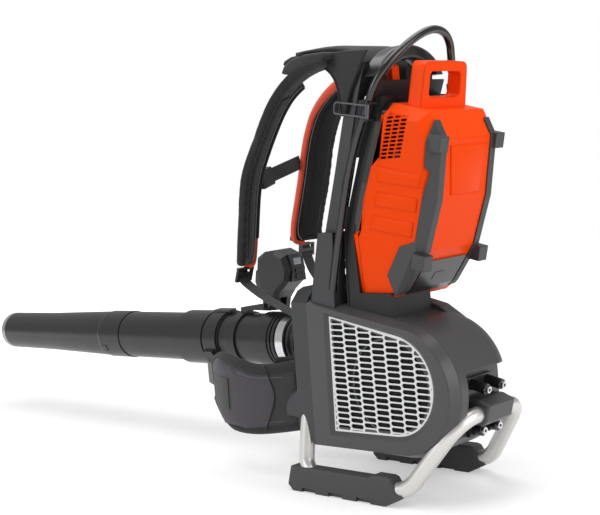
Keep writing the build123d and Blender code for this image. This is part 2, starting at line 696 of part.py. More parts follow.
def make_hose():
    """Ribbed hose with plain cuffs at both ends."""
    inner, outer, mid = SPIGOT_R, HOSE_R, HOSE_R - HOSE_FOLD_DEPTH
    points = [(-CUFF, inner), (-CUFF, inner + 3), (0, inner + 3)]
    pitch = HOSE_LENGTH / HOSE_FOLDS
    for i in range(HOSE_FOLDS):
        points += [(pitch * (i + 0.25), outer), (pitch * (i + 0.55), outer), (pitch * (i + 0.85), mid)]
    points += [(HOSE_LENGTH, inner + 3), (HOSE_LENGTH + CUFF, inner + 3), (HOSE_LENGTH + CUFF, inner)]
    points += [(HOSE_LENGTH, inner)]
    for i in reversed(range(HOSE_FOLDS)):
        points += [(pitch * (i + 0.85), mid - 1.6), (pitch * (i + 0.55), outer - 1.6),
                   (pitch * (i + 0.25), outer - 1.6)]
    points += [(0, inner)]
    return turned(points)


def hose_clamp(start, width, screw_turn):
    """Steel band clamp; screw_turn is the angle of its screw from the outer side, downwards."""
    band_ring = pipe_ring(start, start + width, SPIGOT_R + 4.2, SPIGOT_R + 3)
    seat = on_pipe(start + width / 2).location
    screw = seat * Rot(0, 0, screw_turn) * Pos(SPIGOT_R + 8, 0, 0)
    return band_ring + screw * Box(9, 20, width * 0.7)


def make_swivel_collar():
    start = HOSE_LENGTH
    mid = start + CUFF
    end = mid + COLLAR_LENGTH
    points = [(start, SPIGOT_R), (mid + 2, SPIGOT_R), (mid + 2, HOSE_R), (mid + 9, HOSE_R),
              (mid + 9, HOSE_R - 3),
              (mid + 13, HOSE_R - 3), (mid + 13, HOSE_R), (mid + 20, HOSE_R), (mid + 20, COLLAR_R),
              (end, COLLAR_R), (end, REAR_PIPE_R + SLIDE_FIT), (mid + 14, REAR_PIPE_R + SLIDE_FIT),
              (mid + 14, SPIGOT_R - 3), (start, SPIGOT_R - 3)]
    return turned(points)


def make_rear_pipe():
    start = HOSE_LENGTH + CUFF + 14 + SLIDE_FIT
    return pipe_ring(start, REAR_PIPE_END, REAR_PIPE_R, REAR_PIPE_R - PIPE_WALL)


def make_middle_pipe():
    """Middle pipe: slotted sliding socket at the rear, plain tube, spigot for the nozzle."""
    bore = REAR_PIPE_R + SLIDE_FIT
    neck = NOZZLE_R - PIPE_WALL - SLIDE_FIT
    points = [(CLAMP_AT - 4, bore), (CLAMP_AT - 4, bore + 2.2), (CLAMP_AT + CLAMP_LENGTH + 6, bore + 2.2),
              (CLAMP_AT + CLAMP_LENGTH + 6, SOCKET_R), (SOCKET_END, SOCKET_R), (SOCKET_END + 8, MIDDLE_R),
              (NOZZLE_AT - 1, MIDDLE_R), (NOZZLE_AT - 1, neck), (MIDDLE_END, neck),
              (MIDDLE_END, neck - PIPE_WALL),
              (SOCKET_END + 6, neck - PIPE_WALL), (REAR_PIPE_END + 2, bore)]
    body = turned(points)
    slot = on_pipe(CLAMP_AT + 20).location * Pos(REAR_PIPE_R, 0, 0) * Box(12, 4, 60)
    return body - slot


def make_pipe_clamp():
    """Plastic band clamp with a screw boss, over the slotted end of the middle pipe."""
    inner = REAR_PIPE_R + SLIDE_FIT + 2.2
    body = pipe_ring(CLAMP_AT, CLAMP_AT + CLAMP_LENGTH, inner + 3.2, inner)
    seat = on_pipe(CLAMP_AT + CLAMP_LENGTH / 2).location
    boss = seat * Rot(0, 0, 152) * Pos(inner + 5, 0, 0) * Box(12, 24, 26)
    tab = seat * Rot(0, 0, 266) * Pos(inner + 3.6, 0, -2) * Box(6, 20, CLAMP_LENGTH + 10)
    bore = seat * Cylinder(inner, CLAMP_LENGTH + 60)
    return body + (boss - bore) + (tab - bore)


def make_nozzle():
    wall = PIPE_WALL
    bore = NOZZLE_R - wall
    points = [(NOZZLE_AT, bore), (NOZZLE_AT, NOZZLE_R), (NOZZLE_AT + NOZZLE_STEP, NOZZLE_R),
              (NOZZLE_AT + NOZZLE_STEP + 6, NOZZLE_R - 1.7),
              (NOZZLE_MID, NOZZLE_MID_R), (NOZZLE_END - TIP_RING, NOZZLE_TIP_R),
              (NOZZLE_END - TIP_RING, NOZZLE_BORE_R),
              (NOZZLE_MID, NOZZLE_MID_R - wall), (MIDDLE_END + 12, bore - wall), (MIDDLE_END + 1, bore)]
    body = turned(points)
    lug = on_pipe(NOZZLE_AT + 58).location * Rot(0, 0, 150) * Pos(NOZZLE_R - 2, 0, 0) * Box(6, 14, 12)
    core = on_pipe(NOZZLE_AT + 58).location * Cylinder(NOZZLE_R - 3.5, 40)
    return body + (lug - core)


def make_nozzle_ring():
    return pipe_ring(NOZZLE_END - TIP_RING, NOZZLE_END, NOZZLE_TIP_R, NOZZLE_BORE_R)


# ================================================================ control grip
GRIP_Z = PIPE_Z - sin(radians(DROOP)) * (MOUTH_X - GRIP_X) + GRIP_RISE


def make_grip_bracket():
    """Band on the rear pipe with an arm that reaches back to the grip's pivot fork."""
    ring = pipe_ring(BRACKET_AT, BRACKET_AT + BRACKET_LENGTH, REAR_PIPE_R + 4, REAR_PIPE_R)
    seat_x = MOUTH_X - cos(radians(DROOP)) * (BRACKET_AT + BRACKET_LENGTH / 2)
    pipe_top = GRIP_Z - GRIP_RISE + COLLAR_R + 3
    arm = slab([(seat_x - 9, pipe_top - 10), (seat_x - 9, pipe_top + 5), (GRIP_X - 14, GRIP_Z + 3),
                (GRIP_X + 10, GRIP_Z + 3),
                (GRIP_X + 10, GRIP_Z - 7), (GRIP_X - 10, pipe_top), (seat_x + 9, pipe_top),
                (seat_x + 9, pipe_top - 10)],
               PIPE_Y - 9, PIPE_Y + 9)
    eye = along_y(GRIP_X, GRIP_Z, PIPE_Y - 9, PIPE_Y + 9, PIVOT_R + 5)
    bore = on_pipe(BRACKET_AT).location * Cylinder(REAR_PIPE_R + 1, 120)
    return ring + ((arm + eye) - bore - along_y(GRIP_X, GRIP_Z, PIPE_Y - 12, PIPE_Y + 12, PIVOT_R + 0.05))


def grip_outline():
    """Side outline of the grip as (x, z): neck at the bottom, thumb panel at the rear, round top."""
    points = [(-14, -9), (15, -9), (20, 10), (34, 26), (58, 44), (63, 66), (54, 92), (30, 102), (2, 99),
              (-18, 88),
              (-22, 66), (-18, 40), (-15, 18)]
    return [(GRIP_X + GRIP_SIZE * dx, GRIP_Z + GRIP_SIZE * dz) for dx, dz in points]


def grip_slab(points, half):
    """Solid across the middle of the grip from points relative to its pivot, half wide on each side."""
    return slab([(GRIP_X + GRIP_SIZE * dx, GRIP_Z + GRIP_SIZE * dz) for dx, dz in points], PIPE_Y - half,
                PIPE_Y + half)


def trigger_body(grow=0.0):
    """The trigger, larger by grow on every side."""
    points = [(-22 - grow, 76 + grow), (-38 - grow, 62), (-42 - grow, 42), (-34 - grow, 20 - grow),
              (-12, 20 - grow),
              (-12, 76 + grow)]
    return grip_slab(points, 12 + grow / 2)


def trigger_room():
    """Pocket in the grip, deep enough for the trigger's full swing."""
    hinge = Axis((GRIP_X - 12, PIPE_Y, GRIP_Z + 70 * GRIP_SIZE), (0, -1, 0))
    return [trigger_body(1.0).rotate(hinge, angle) for angle in range(0, TRIGGER_SWING + 5, 4)]


def grip_room():
    """What is cut from the grip's shells: fork gap, pivot, trigger pocket and panel seat."""
    fork = grip_slab([(-30, -30), (30, -30), (24, 13), (-24, 13)], 9.5)
    pivot = along_y(GRIP_X, GRIP_Z, PIPE_Y - 60, PIPE_Y + 60, PIVOT_R)
    return [fork, pivot, panel_solid(), button_room(0), button_room(1)] + trigger_room()


def panel_plane():
    """Plane of the thumb panel: x across the grip, y up along it, z out of its face."""
    low, high = grip_outline()[4], grip_outline()[6]
    up = Vector(high[0] - low[0], 0, high[1] - low[1]).normalized()
    out = Vector(up.Z, 0, -up.X)
    middle = Vector((low[0] + high[0]) / 2, PIPE_Y, (low[1] + high[1]) / 2)
    return Plane(origin=middle, x_dir=(0, 1, 0), z_dir=out)


def panel_solid():
    return panel_plane().location * Pos(0, 0, 1.5) * Box(34, 53, 16)


def button_solid(index, grow=0.0):
    return panel_plane().location * Pos(0, -6 - 11 * index, 5) * Box(20 + 2 * grow, 7 + 2 * grow, 13)


def button_room(index):
    room = button_solid(index, BUTTON_GAP)
    return room + Pos(panel_plane().z_dir * -BUTTON_TRAVEL) * room


def make_display():
    """Thumb panel with a sunk screen and openings for the two buttons."""
    window = panel_plane().location * Pos(0, 12, 9) * Box(22, 14, 2)
    return panel_solid() - window - [button_room(0), button_room(1)]


def grip_shell(low_y, high_y):
    far = high_y if high_y > PIPE_Y else low_y
    body = slab(grip_outline(), low_y, high_y)
    rim = [e for e in body.edges() if abs(e.center().Y - far) < 0.1]
    return chamfer(rim, 8.0) - grip_room()


def make_trigger():
    body = trigger_body()
    return fillet([e for e in body.edges() if e.center().X < GRIP_X - 28 and abs(e.center().Y - PIPE_Y) > 11],
                  4.0)


def make_grip_pivot():
    return along_y(GRIP_X, GRIP_Z, PIPE_Y - GRIP_HALF + 8, PIPE_Y + GRIP_HALF - 8, PIVOT_R)


# ================================================================ posts and handle
def post(y_mid, base):
    """Harness post on top of the fan unit; base is what its foot is cut to."""
    rear = [(x + POST_DEPTH, z) for x, z in reversed(POST_LINE)]
    return slab(POST_LINE + rear, y_mid - POST_W / 2, y_mid + POST_W / 2) - base


def post_x(z):
    """Front of the post at a height."""
    for (x0, z0), (x1, z1) in zip(POST_LINE, POST_LINE[1:]):
        if z <= z1:
            return x0 + (z - z0) * (x1 - x0) / (z1 - z0)
    return POST_LINE[-1][0]


def sleeve(side, base, cable_core):
    """Slotted sleeve round the foot of a post; its outer side is wide enough for the cable."""
    low, grow, y_mid = POST_LINE[0][1], SLEEVE_GROW, side * POST_Y
    line = [(post_x(low) - grow, low), (post_x(SLEEVE_TOP) - grow, SLEEVE_TOP),
            (post_x(SLEEVE_TOP) + POST_DEPTH + grow, SLEEVE_TOP), (post_x(low) + POST_DEPTH + grow + 22, low)]
    inner_y, outer_y = y_mid - side * (POST_W / 2 + grow - 1), y_mid + side * (POST_W / 2 + grow + 10)
    body = slab(line, *sorted((inner_y, outer_y)))
    for i in range(4):
        z = SLEEVE_TOP - 22 - i * 22
        x = post_x(z) + POST_DEPTH + 3
        body -= block((x, x + 50), (inner_y - 6, inner_y + 6), (z - 5, z + 5))
    return body - slab(POST_LINE + [(x + POST_DEPTH, z) for x, z in reversed(POST_LINE)], y_mid - POST_W / 2,
                       y_mid + POST_W / 2) - base - cable_core


def make_carry_handle(posts):
    """Arched grab handle across the tops of the posts."""
    half, rise, foot_z, thick = HANDLE_HALF, HANDLE_RISE, HANDLE_FOOT, HANDLE_THICK
    outer = Spline((0, -half, foot_z), (0, -half + 18, rise - 22), (0, 0, rise), (0, half - 18, rise - 22),
                   (0, half, foot_z))
    inner = Spline((0, half - thick, foot_z), (0, half - 34, rise - 22 - thick * 0.7), (0, 0, rise - thick),
                   (0, 34 - half, rise - 22 - thick * 0.7), (0, thick - half, foot_z))
    ring = make_face([outer, Line(outer @ 1, inner @ 0), inner, Line(inner @ 1, outer @ 0)])
    x = post_x(HANDLE_FOOT) + POST_DEPTH + 2
    arch = Pos(x, 0, 0) * extrude(ring, amount=HANDLE_DEPTH, dir=(1, 0, 0))
    arch = fillet([e for e in arch.edges() if e.length > 100], 6.0)
    bar_x = x + 4
    inner = POST_Y - POST_W / 2
    bar = block((bar_x, bar_x + 17), (-inner, inner), (640, 660))
    front = post_x(650) + 16
    cheeks = [block((front, bar_x + 17), sorted((side * inner, side * (inner - 8))), (640, 692))
              for side in (-1, 1)]
    return arch + bar + cheeks - posts


def make_battery_latch():
    """Latch tab on the cross bar in front of the battery's handle."""
    x = post_x(HANDLE_FOOT) + POST_DEPTH + 8
    side = [(x, 660), (x + 11, 660), (x + 11, 683), (x + 6, 688), (x, 684)]
    return chamfer(slab(side, -31, -13).edges().group_by(Axis.Z)[-1], 1.5)


def make_battery_tray(base, pack):
    """Carrier between posts and battery: front plate with windows, side cheeks and a shelf."""
    front = [(134, 290), (138, 423), (223, 636), (240, 636), (155, 423), (160, 290)]
    plate = slab(front, -TRAY_HALF, TRAY_HALF)
    for low_y, high_y in ((-62, -6), (6, 62)):
        for low_z, high_z in ((332, 400), (440, 520), (540, 612)):
            plate -= block((100, 260), (low_y, high_y), (low_z, high_z))
    cheek = [(post_x(z) + POST_DEPTH, z) for z in (SLEEVE_TOP + 4, POST_LINE[2][1], 634)]
    cheek += [(228, 634), (148, SLEEVE_TOP + 4)]
    hole = slab([(post_x(468) + POST_DEPTH + 4, 468), (post_x(545) + POST_DEPTH + 4, 545), (180, 545),
                 (150, 468)], -90, 90)
    cheeks = [slab(cheek, y - 7, y + 7) - hole for y in (-POST_Y, POST_Y)]
    shelf = slab([(134, 280), (134, 330), (222, 330), (222, 270)], -TRAY_HALF, RIDGE_Y - 2)
    return plate + cheeks + shelf - base - pack


def clip_place():
    return Pos(CLIP_X, -POST_Y - POST_W / 2 - 19, CLIP_Z) * Rot(0, CLIP_TILT, 0)


def make_cable_clip():
    """Wire bail that keeps the cable against the post, on a hinge barrel behind it."""
    half = CLIP_HEIGHT / 2
    wire = FilletPolyline((-3, 0, -half), (-CLIP_REACH, 0, -half), (-CLIP_REACH, 0, half), (-3, 0, half),
                          radius=5)
    barrel = Cylinder(4.0, CLIP_HEIGHT + 4) - Cylinder(2.0 + SHAFT_FIT, CLIP_HEIGHT + 5)
    return clip_place() * (swept_tube(wire, WIRE_R) + barrel)


def make_clip_hinge(pack):
    """Pin and two ears on the battery tray that carry the cable clip."""
    reach = CLIP_HEIGHT / 2 + 2.5
    ears = []
    for z in (-reach - 3, reach):
        ears.append(Pos(0, 11, z + 1.5) * Box(7, 30, 3))
    pin = Cylinder(2.0, 2 * reach + 6)
    return clip_place() * (pin + ears) - pack


# ================================================================ battery
def pack_solid(grow=0.0):
    """Outside of the battery pack, larger by grow on every side."""
    half = PACK_HALF + grow
    face = outline_xz(PACK_OUTLINE, -half)
    if grow:
        face = offset(face, amount=grow, kind=Kind.INTERSECTION)
    low = half - PACK_TAPER
    front = [(-half, 720), (-half, TAPER_FROM), (-low, 300), (low, 300), (half, TAPER_FROM), (half, 720)]
    body = extrude(face, amount=2 * half, dir=(0, 1, 0))
    corner = [e for e in body.edges() if abs(abs(e.center().Y) - half) < 0.1 and e.center().X > 250]
    return chamfer(corner, PACK_CORNER + 0.3 * grow) & plate_yz(front, 100, 400)


def pack_core():
    return pack_solid(-PACK_WALL)


def front_half(depth_line):
    """Everything in front of the plane that splits the two battery shells."""
    x0, z0 = PACK_OUTLINE[1]
    x1, z1 = PACK_OUTLINE[2]
    return slab([(x0 - 200, 200), (x0 + depth_line - 4, 200), (x0 + depth_line, z0), (x1 + depth_line, z1),
                 (x1 + depth_line + 40, z1 + 110), (x0 - 200, z1 + 110)], -200, 200)


def grab_plane():
    """Plane of the battery's grab handle: x along Y, y up, leaning back with the pack."""
    return Plane(origin=(GRAB_FOOT[0], 0, GRAB_FOOT[1]), x_dir=(0, 1, 0),
                 z_dir=(cos(radians(11)), 0, -sin(radians(11))))


def make_grab_handle():
    base, top, height = GRAB_BASE, GRAB_TOP, GRAB_HEIGHT
    outer = make_face(Polyline((-base, 0), (base, 0), (top, height), (-top, height), close=True))
    outer = fillet(outer.vertices().sort_by(Axis.Y)[-2:], 12)
    width, tall = GRAB_WINDOW
    window = Pos(0, GRAB_SILL + tall / 2) * RectangleRounded(width, tall, 8)
    return grab_plane().location * extrude(outer - window, amount=GRAB_THICK)


def vent_slots():
    """Cooling slots through both sides of the rear shell, in rows that follow the pack's lean."""
    slots = []
    for side in (-1, 1):
        for column in range(VENT_COLUMNS):
            for row in range(VENT_ROWS):
                x = 227 + column * VENT_PITCH[0] + row * 2.0
                z = 540 + row * (VENT_PITCH[1] - 0.6)
                slots.append(block((x, x + VENT_SLOT[0]), (side * PACK_HALF - 6, side * PACK_HALF + 6),
                                   (z, z + VENT_SLOT[1])))
    return slots


def guard_region(side):
    return slab(GUARD_SIDE + [(420, 326), (420, 606)], *sorted((side * GUARD_EDGE, side * 120)))


def make_corner_guard(side, solid, skin):
    strip = (skin & guard_region(side)) - solid
    pads = []
    for z, x in ((556, 329), (378, 281)):
        seat = Pos(x, side * 72, z) * Rot(0, 14, 0)
        pads.append(seat * Box(18 + PAD_RISE, 22, 24) - solid)
    return strip + pads


def status_region():
    return slab([(228, 318), (420, 318), (420, 376), (228, 376)], -GUARD_EDGE + 4, GUARD_EDGE - 4)


def make_status_panel(solid, skin):
    return (skin & status_region()) - solid - status_button_solid(0.4)


def status_button_solid(grow=0.0, depth=0.0):
    return (Pos(STATUS_X, 0, STATUS_Z) * Rot(0, STATUS_TILT, 0) * Pos(-depth / 2, 0, 0)
            * Box(10 + depth, 24 + 2 * grow, 14 + 2 * grow))


def pack_place():
    """Middle of the cell block, leaned with the pack."""
    return Pos(238, 0, 474) * Rot(0, PACK_LEAN, 0)


def make_cells():
    cells = []
    for side in (-1, 1):
        for column in range(CELL_COLUMNS):
            for row in range(CELL_ROWS):
                x = (column - (CELL_COLUMNS - 1) / 2) * CELL_PITCH
                z = (row - (CELL_ROWS - 1) / 2) * CELL_PITCH
                cells.append(pack_place() * Pos(x, side * (CELL_LENGTH / 2 + 1.5), z) * Rot(90, 0, 0)
                             * Cylinder(CELL_R, CELL_LENGTH))
    return Compound(cells)


def cell_block_box(grow):
    width = CELL_PITCH * (CELL_COLUMNS - 1) + 2 * CELL_R + 2 * grow
    height = CELL_PITCH * (CELL_ROWS - 1) + 2 * CELL_R + 2 * grow
    return width, height


def make_cell_tray():
    """Open box round the cell block, with a web between the two banks."""
    width, height = cell_block_box(0.4)
    outer = pack_place() * Box(width + 5, 2 * CELL_LENGTH + 9, height + 5)
    banks = [pack_place() * Pos(0, side * (CELL_LENGTH / 2 + 4), 0) * Box(width, CELL_LENGTH + 6, height)
             for side in (-1, 1)]
    rails = [pack_place() * Pos(-width / 2 - 8, y, z) * Box(12, 8, 40) for y in (-40, 40) for z in (-50, 50)]
    return (outer + rails - banks) & pack_core()


def make_battery_board():
    width, height = cell_block_box(0.4)
    return pack_place() * Pos(0, 0, height / 2 + 2.5 + 4.5) * Box(width - 20, 110, 4) + [
        pack_place() * Pos(0, y, height / 2 + 2.5 + 1.5) * Box(8, 8, 3) for y in (-40, 40)]


def make_cable_gland(pack, handle, cable_core):
    """Collar on top of the battery that the cable leaves from."""
    x, y, z = CABLE_ROUTE[0]
    return Pos(x, y, z - 8) * Cylinder(11, 36) - pack - handle - cable_core


def cable_path():
    radii = []
    points = [Vector(*p) for p in CABLE_ROUTE]
    for a, b, c in zip(points, points[1:], points[2:]):
        turn = radians((b - a).get_angle(c - b))
        radii.append(0.45 * min((b - a).length, (c - b).length) / tan(turn / 2))
    print("cable radii", [round(r) for r in radii])
    return FilletPolyline(*CABLE_ROUTE, radius=radii)


def make_cable(path):
    body = swept_tube(path, CABLE_R)
    print("cable length", round(path.length), "volume ratio",
          round(body.volume / (pi * CABLE_R ** 2 * path.length), 4))
    return body


# ================================================================ harness fabric
def make_yoke():
    """Shoulder yoke: a padded sheet from the post tops to both straps, open at the neck."""
    wide = STRAP_Y + STRAP_W / 2
    sheet = side_band(YOKE_LINE, YOKE_THICK, -wide, wide)
    plan = [(-wide, 86), (-wide, 106), (-YOKE_HALF - 12, 138), (-YOKE_HALF + 8, 162), (-YOKE_HALF + 8, 220),
            (YOKE_HALF - 8, 220), (YOKE_HALF - 8, 162), (YOKE_HALF + 12, 138), (wide, 106), (wide, 86),
            (STRAP_Y - STRAP_W / 2, 86), (46, 112), (-46, 112), (STRAP_W / 2 - STRAP_Y, 86)]
    face = make_face(Polyline([(x, y, 600) for y, x in plan], close=True))
    return sheet & extrude(face, amount=200, dir=(0, 0, 1))


def make_strap(line, side):
    """Shoulder strap on one side (-1 or 1), rolled so that its inner edge stands forward."""
    outer_y = side * (STRAP_Y + STRAP_W / 2)
    put = lambda u, v: (u + STRAP_ROLL / 2, outer_y, v)
    return soft_band(line, STRAP_THICK, put, Vector(-STRAP_ROLL, -side * STRAP_W, 0))


def make_webbing(line, y_mid):
    return side_band(line, WEB_THICK, y_mid - WEB_W / 2, y_mid + WEB_W / 2)


def make_ladder_buckle(strap, web, y_mid):
    """Two-slot buckle between a strap's lower end and its webbing."""
    (x0, z0), (x1, z1) = strap[-1], web[0]
    reach = hypot(x1 - x0, z1 - z0)
    tilt = degrees(atan2(x0 - x1, z0 - z1))
    seat = Pos((x0 + x1) / 2, y_mid, (z0 + z1) / 2) * Rot(0, tilt, 0)
    frame = Box(5, WEB_W + 12, reach - 5 * SOFT_GAP)
    slots = [Pos(0, 0, z) * Box(8, WEB_W + 2, reach * 0.22) for z in (-reach * 0.22, reach * 0.22)]
    return seat * (frame - slots)


def strap_x(line, z):
    """Middle of a shoulder strap at a height."""
    for (x0, z0), (x1, z1) in zip(line, line[1:]):
        if z >= z1:
            return x0 + (z - z0) * (x1 - x0) / (z1 - z0)
    return line[-1][0]


def chest_place():
    """Middle of the chest strap, tilted so that its right end is the higher one."""
    return Pos(0, 0, CHEST_Z) * Rot(CHEST_TILT, 0, 0)


def chest_ends():
    """Middle of the chest strap at its left and right end as (x, y)."""
    edge = STRAP_Y - STRAP_W / 2 - SOFT_GAP
    rise = edge * sin(radians(CHEST_TILT))
    left, right = strap_x(LEFT_STRAP, CHEST_Z - rise), strap_x(RIGHT_STRAP, CHEST_Z + rise)
    return (left - STRAP_ROLL / 2, -edge), (right - STRAP_ROLL / 2, edge)


def make_chest_strap():
    """Chest strap between the inner edges of both shoulder straps."""
    (left, y0), (right, y1) = chest_ends()
    line = [(left, y0), ((2 * left + right) / 3, y0 / 3), ((left + 2 * right) / 3, y1 / 3), (right, y1)]
    return chest_place() * plan_band(line, WEB_THICK, -WEB_W / 2, WEB_W / 2)


def make_chest_buckle(strap):
    left = chest_ends()[0][0]
    body = fillet((Pos(left + 1, -34, 0) * Rot(0, 0, 8) * Box(11, 34, WEB_W + 8)).edges(), 3.0)
    return chest_place() * body - strap


def make_belt(line, side, reach):
    """Padded wing of the hip belt: bent in plan, cut to its side outline."""
    wing = plan_band(line, BELT_THICK, 60, 240)
    return wing & slab(side, *sorted((0, reach)))


def make_belt_buckle():
    """Side-release buckle on the tip of the left wing."""
    (x0, y0), (x1, y1) = LEFT_BELT[-2:]
    heading = degrees(atan2(y1 - y0, x1 - x0))
    seat = Pos(x1, y1, 168) * Rot(0, 0, heading) * Pos(20 + SOFT_GAP, 0, 0)
    return seat * fillet(Box(40, 14, 46).edges(), 4.0)


# ================================================================ assembly
def fan_unit_parts(tube_core, housing):
    elbow_room = along_x(PIPE_Y, PIPE_Z + 3, -60, 110, DUCT_OUT_R + 2.5)
    elbow_start = elbow_path() @ 0
    duct_hole = along_y(elbow_start.X, elbow_start.Z, FAR_Y - 20, FAR_Y + 1, DUCT_OUT_R - PIPE_WALL - 1)
    lug = belt_anchor()
    return {
        "fan_housing": make_housing(housing, duct_hole),
        "inlet_cover": make_inlet_cover() + make_bell_mouth(),
        "inlet_grille": make_inlet_grille(),
        "fan_duct": make_fan_duct(),
        "impeller": make_impeller(),
        "fan_nut": make_fan_nut(),
        "motor_shaft": make_shaft(),
        "motor_rotor": make_rotor(),
        "motor_stator": make_stator(),
        "motor_cap": make_motor_cap(),
        "motor_bearings": Compound([make_bearing(CAN_NEAR - 2), make_bearing(FAR_Y - WALL - 15)]),
        "motor_controller": make_controller(),
        "back_plate": make_backplate() + [lug, mirrored(lug)] - elbow_room - tube_core,
        "back_pad": make_back_pad(),
        "outlet_elbow": make_elbow(),
    }


def pipe_parts():
    return {
        "rear_hose_clamp": hose_clamp(6 - CUFF, 12, 20),
        "flex_hose": make_hose(),
        "front_hose_clamp": hose_clamp(HOSE_LENGTH + 3, 20, 120),
        "swivel_collar": make_swivel_collar(),
        "rear_pipe": make_rear_pipe(),
        "middle_pipe": make_middle_pipe(),
        "pipe_clamp": make_pipe_clamp(),
        "nozzle": make_nozzle(),
        "nozzle_ring": make_nozzle_ring(),
    }


def grip_parts():
    return {
        "grip_bracket": make_grip_bracket(),
        "grip_shell_left": grip_shell(PIPE_Y - GRIP_HALF, PIPE_Y),
        "grip_shell_right": grip_shell(PIPE_Y, PIPE_Y + GRIP_HALF),
        "grip_pivot": make_grip_pivot(),
        "grip_display": make_display(),
        "mode_button_upper": button_solid(0),
        "mode_button_lower": button_solid(1),
        "throttle_trigger": make_trigger(),
    }


def battery_parts(pack, cable_core):
    skin = pack_solid(GUARD_THICK)
    handle = make_grab_handle()
    shell = (pack + handle) - pack_core()
    front = front_half(FRONT_SHELL)
    return {
        "battery_rear_shell": (shell - front) - vent_slots() - status_button_solid(BUTTON_GAP, 4),
        "battery_front_shell": shell & front,
        "corner_guards": Compound([make_corner_guard(-1, pack, skin), make_corner_guard(1, pack, skin)]),
        "status_panel": make_status_panel(pack, skin),
        "status_button": status_button_solid(),
        "battery_cells": make_cells(),
        "cell_tray": make_cell_tray(),
        "battery_board": make_battery_board(),
        "cable_gland": make_cable_gland(pack, handle, cable_core),
    }


def harness_parts():
    chest = make_chest_strap()
    straps = [make_strap(LEFT_STRAP, -1), make_strap(RIGHT_STRAP, 1)]
    ladders = [make_ladder_buckle(LEFT_STRAP, LEFT_WEB, -STRAP_Y) - straps[0],
               make_ladder_buckle(RIGHT_STRAP, RIGHT_WEB, STRAP_Y) - straps[1]]
    return {
        "shoulder_yoke": make_yoke(),
        "left_strap": straps[0],
        "right_strap": straps[1],
        "strap_webbing": Compound([make_webbing(LEFT_WEB, -STRAP_Y), make_webbing(RIGHT_WEB, STRAP_Y),
                                   chest]),
        "harness_buckles": Compound(ladders + [make_chest_buckle(chest), make_belt_buckle()]),
        "left_belt": make_belt(LEFT_BELT, LEFT_BELT_SIDE, -150),
        "right_belt": make_belt(RIGHT_BELT, RIGHT_BELT_SIDE, 150),
    }


def build_parts():
    tube_line = tube_path()
    tube_core = swept_tube(tube_line, TUBE_R)
    housing = housing_solid()
    base = [housing, cover_solid(), slab_over_plate()]
    cable_line = cable_path()
    cable_core = swept_tube(cable_line, CABLE_R + SOFT_GAP)
    posts = [post(-POST_Y, base), post(POST_Y, base)]
    pack = pack_solid()
    tray_room = pack_solid(PACK_GAP)
    foot_right = foot(tube_core)
    tray = (make_battery_tray(base, tray_room) + make_clip_hinge(tray_room)) - cable_core
    parts = {
        "frame_tube": swept_tube(tube_line, TUBE_R, TUBE_R - TUBE_WALL),
        "rubber_feet": Compound([foot_right, mirrored(foot_right)]),
        "anchor_block": make_anchor_block(tube_core),
        "mount_yoke": make_mount_yoke(),
        "mount_screws": make_mount_screws(),
        "harness_posts": Compound(posts),
        "post_sleeves": Compound([sleeve(-1, base, cable_core), sleeve(1, base, cable_core)]),
        "carry_handle": make_carry_handle(posts),
        "battery_latch": make_battery_latch(),
        "battery_tray": tray,
        "cable_clip": make_cable_clip(),
        "battery_cable": make_cable(cable_line),
    }
    for group in (fan_unit_parts(tube_core, housing), pipe_parts(), grip_parts(),
                  battery_parts(pack, cable_core),
                  harness_parts()):
        parts.update(group)
    return parts


def seat_on_floor(parts):
    """Move everything so that the middle of the part's footprint is the origin."""
    box = Compound(list(parts.values())).bounding_box()
    shift = Vector(-(box.min.X + box.max.X) / 2, -(box.min.Y + box.max.Y) / 2, -box.min.Z)
    print("shift", round(shift.X, 3), round(shift.Y, 3), round(shift.Z, 3))
    return {name: Pos(shift) * part for name, part in parts.items()}


if __name__ == "__main__":
    os.makedirs("parts", exist_ok=True)
    for name, part in seat_on_floor(build_parts()).items():
        export_step(part, f"parts/{name}.step")
        print(name, round(part.volume / 1000, 1), "cm3")
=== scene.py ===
# %% [markdown]
# # Backpack leaf blower: the looks around the CAD frame
#
# The CAD part gives every rigid piece its true shape and place. This file adds what CAD leaves plain:
# colours and finishes, padded straps with bound edges, the corrugated hose, small raised details, the light
# and the camera. Lengths are metres in the part's own frame. Where a number is in datum millimetres, it
# counts from the designer's datum, which has x = 0 at the front of the feet's flat, y = 0 between the legs
# and z = 0 on the floor; at() turns such a point into the part's frame.

import bpy
import bmesh
import math
from mathutils import Matrix, Vector


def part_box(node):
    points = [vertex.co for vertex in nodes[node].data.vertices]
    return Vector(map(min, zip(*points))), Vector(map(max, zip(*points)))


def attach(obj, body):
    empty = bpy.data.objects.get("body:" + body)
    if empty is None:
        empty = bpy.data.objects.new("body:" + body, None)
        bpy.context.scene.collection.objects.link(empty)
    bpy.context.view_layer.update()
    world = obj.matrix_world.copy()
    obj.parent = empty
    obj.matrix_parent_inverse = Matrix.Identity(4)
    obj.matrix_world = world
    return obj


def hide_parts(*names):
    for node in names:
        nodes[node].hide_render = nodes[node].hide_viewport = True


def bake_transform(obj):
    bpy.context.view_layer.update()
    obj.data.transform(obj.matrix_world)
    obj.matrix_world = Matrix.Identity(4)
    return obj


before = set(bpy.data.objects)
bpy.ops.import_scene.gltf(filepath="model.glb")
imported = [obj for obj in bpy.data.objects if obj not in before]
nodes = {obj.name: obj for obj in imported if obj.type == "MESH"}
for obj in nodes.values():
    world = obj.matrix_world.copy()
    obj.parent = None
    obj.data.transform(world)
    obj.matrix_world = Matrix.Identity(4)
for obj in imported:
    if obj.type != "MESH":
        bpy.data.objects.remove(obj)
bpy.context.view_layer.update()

FOOT_NOSE = -1.5
feet_low, feet_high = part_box("rubber_feet")
DATUM = Vector((feet_low.x - FOOT_NOSE / 1000, (feet_low.y + feet_high.y) / 2, 0))


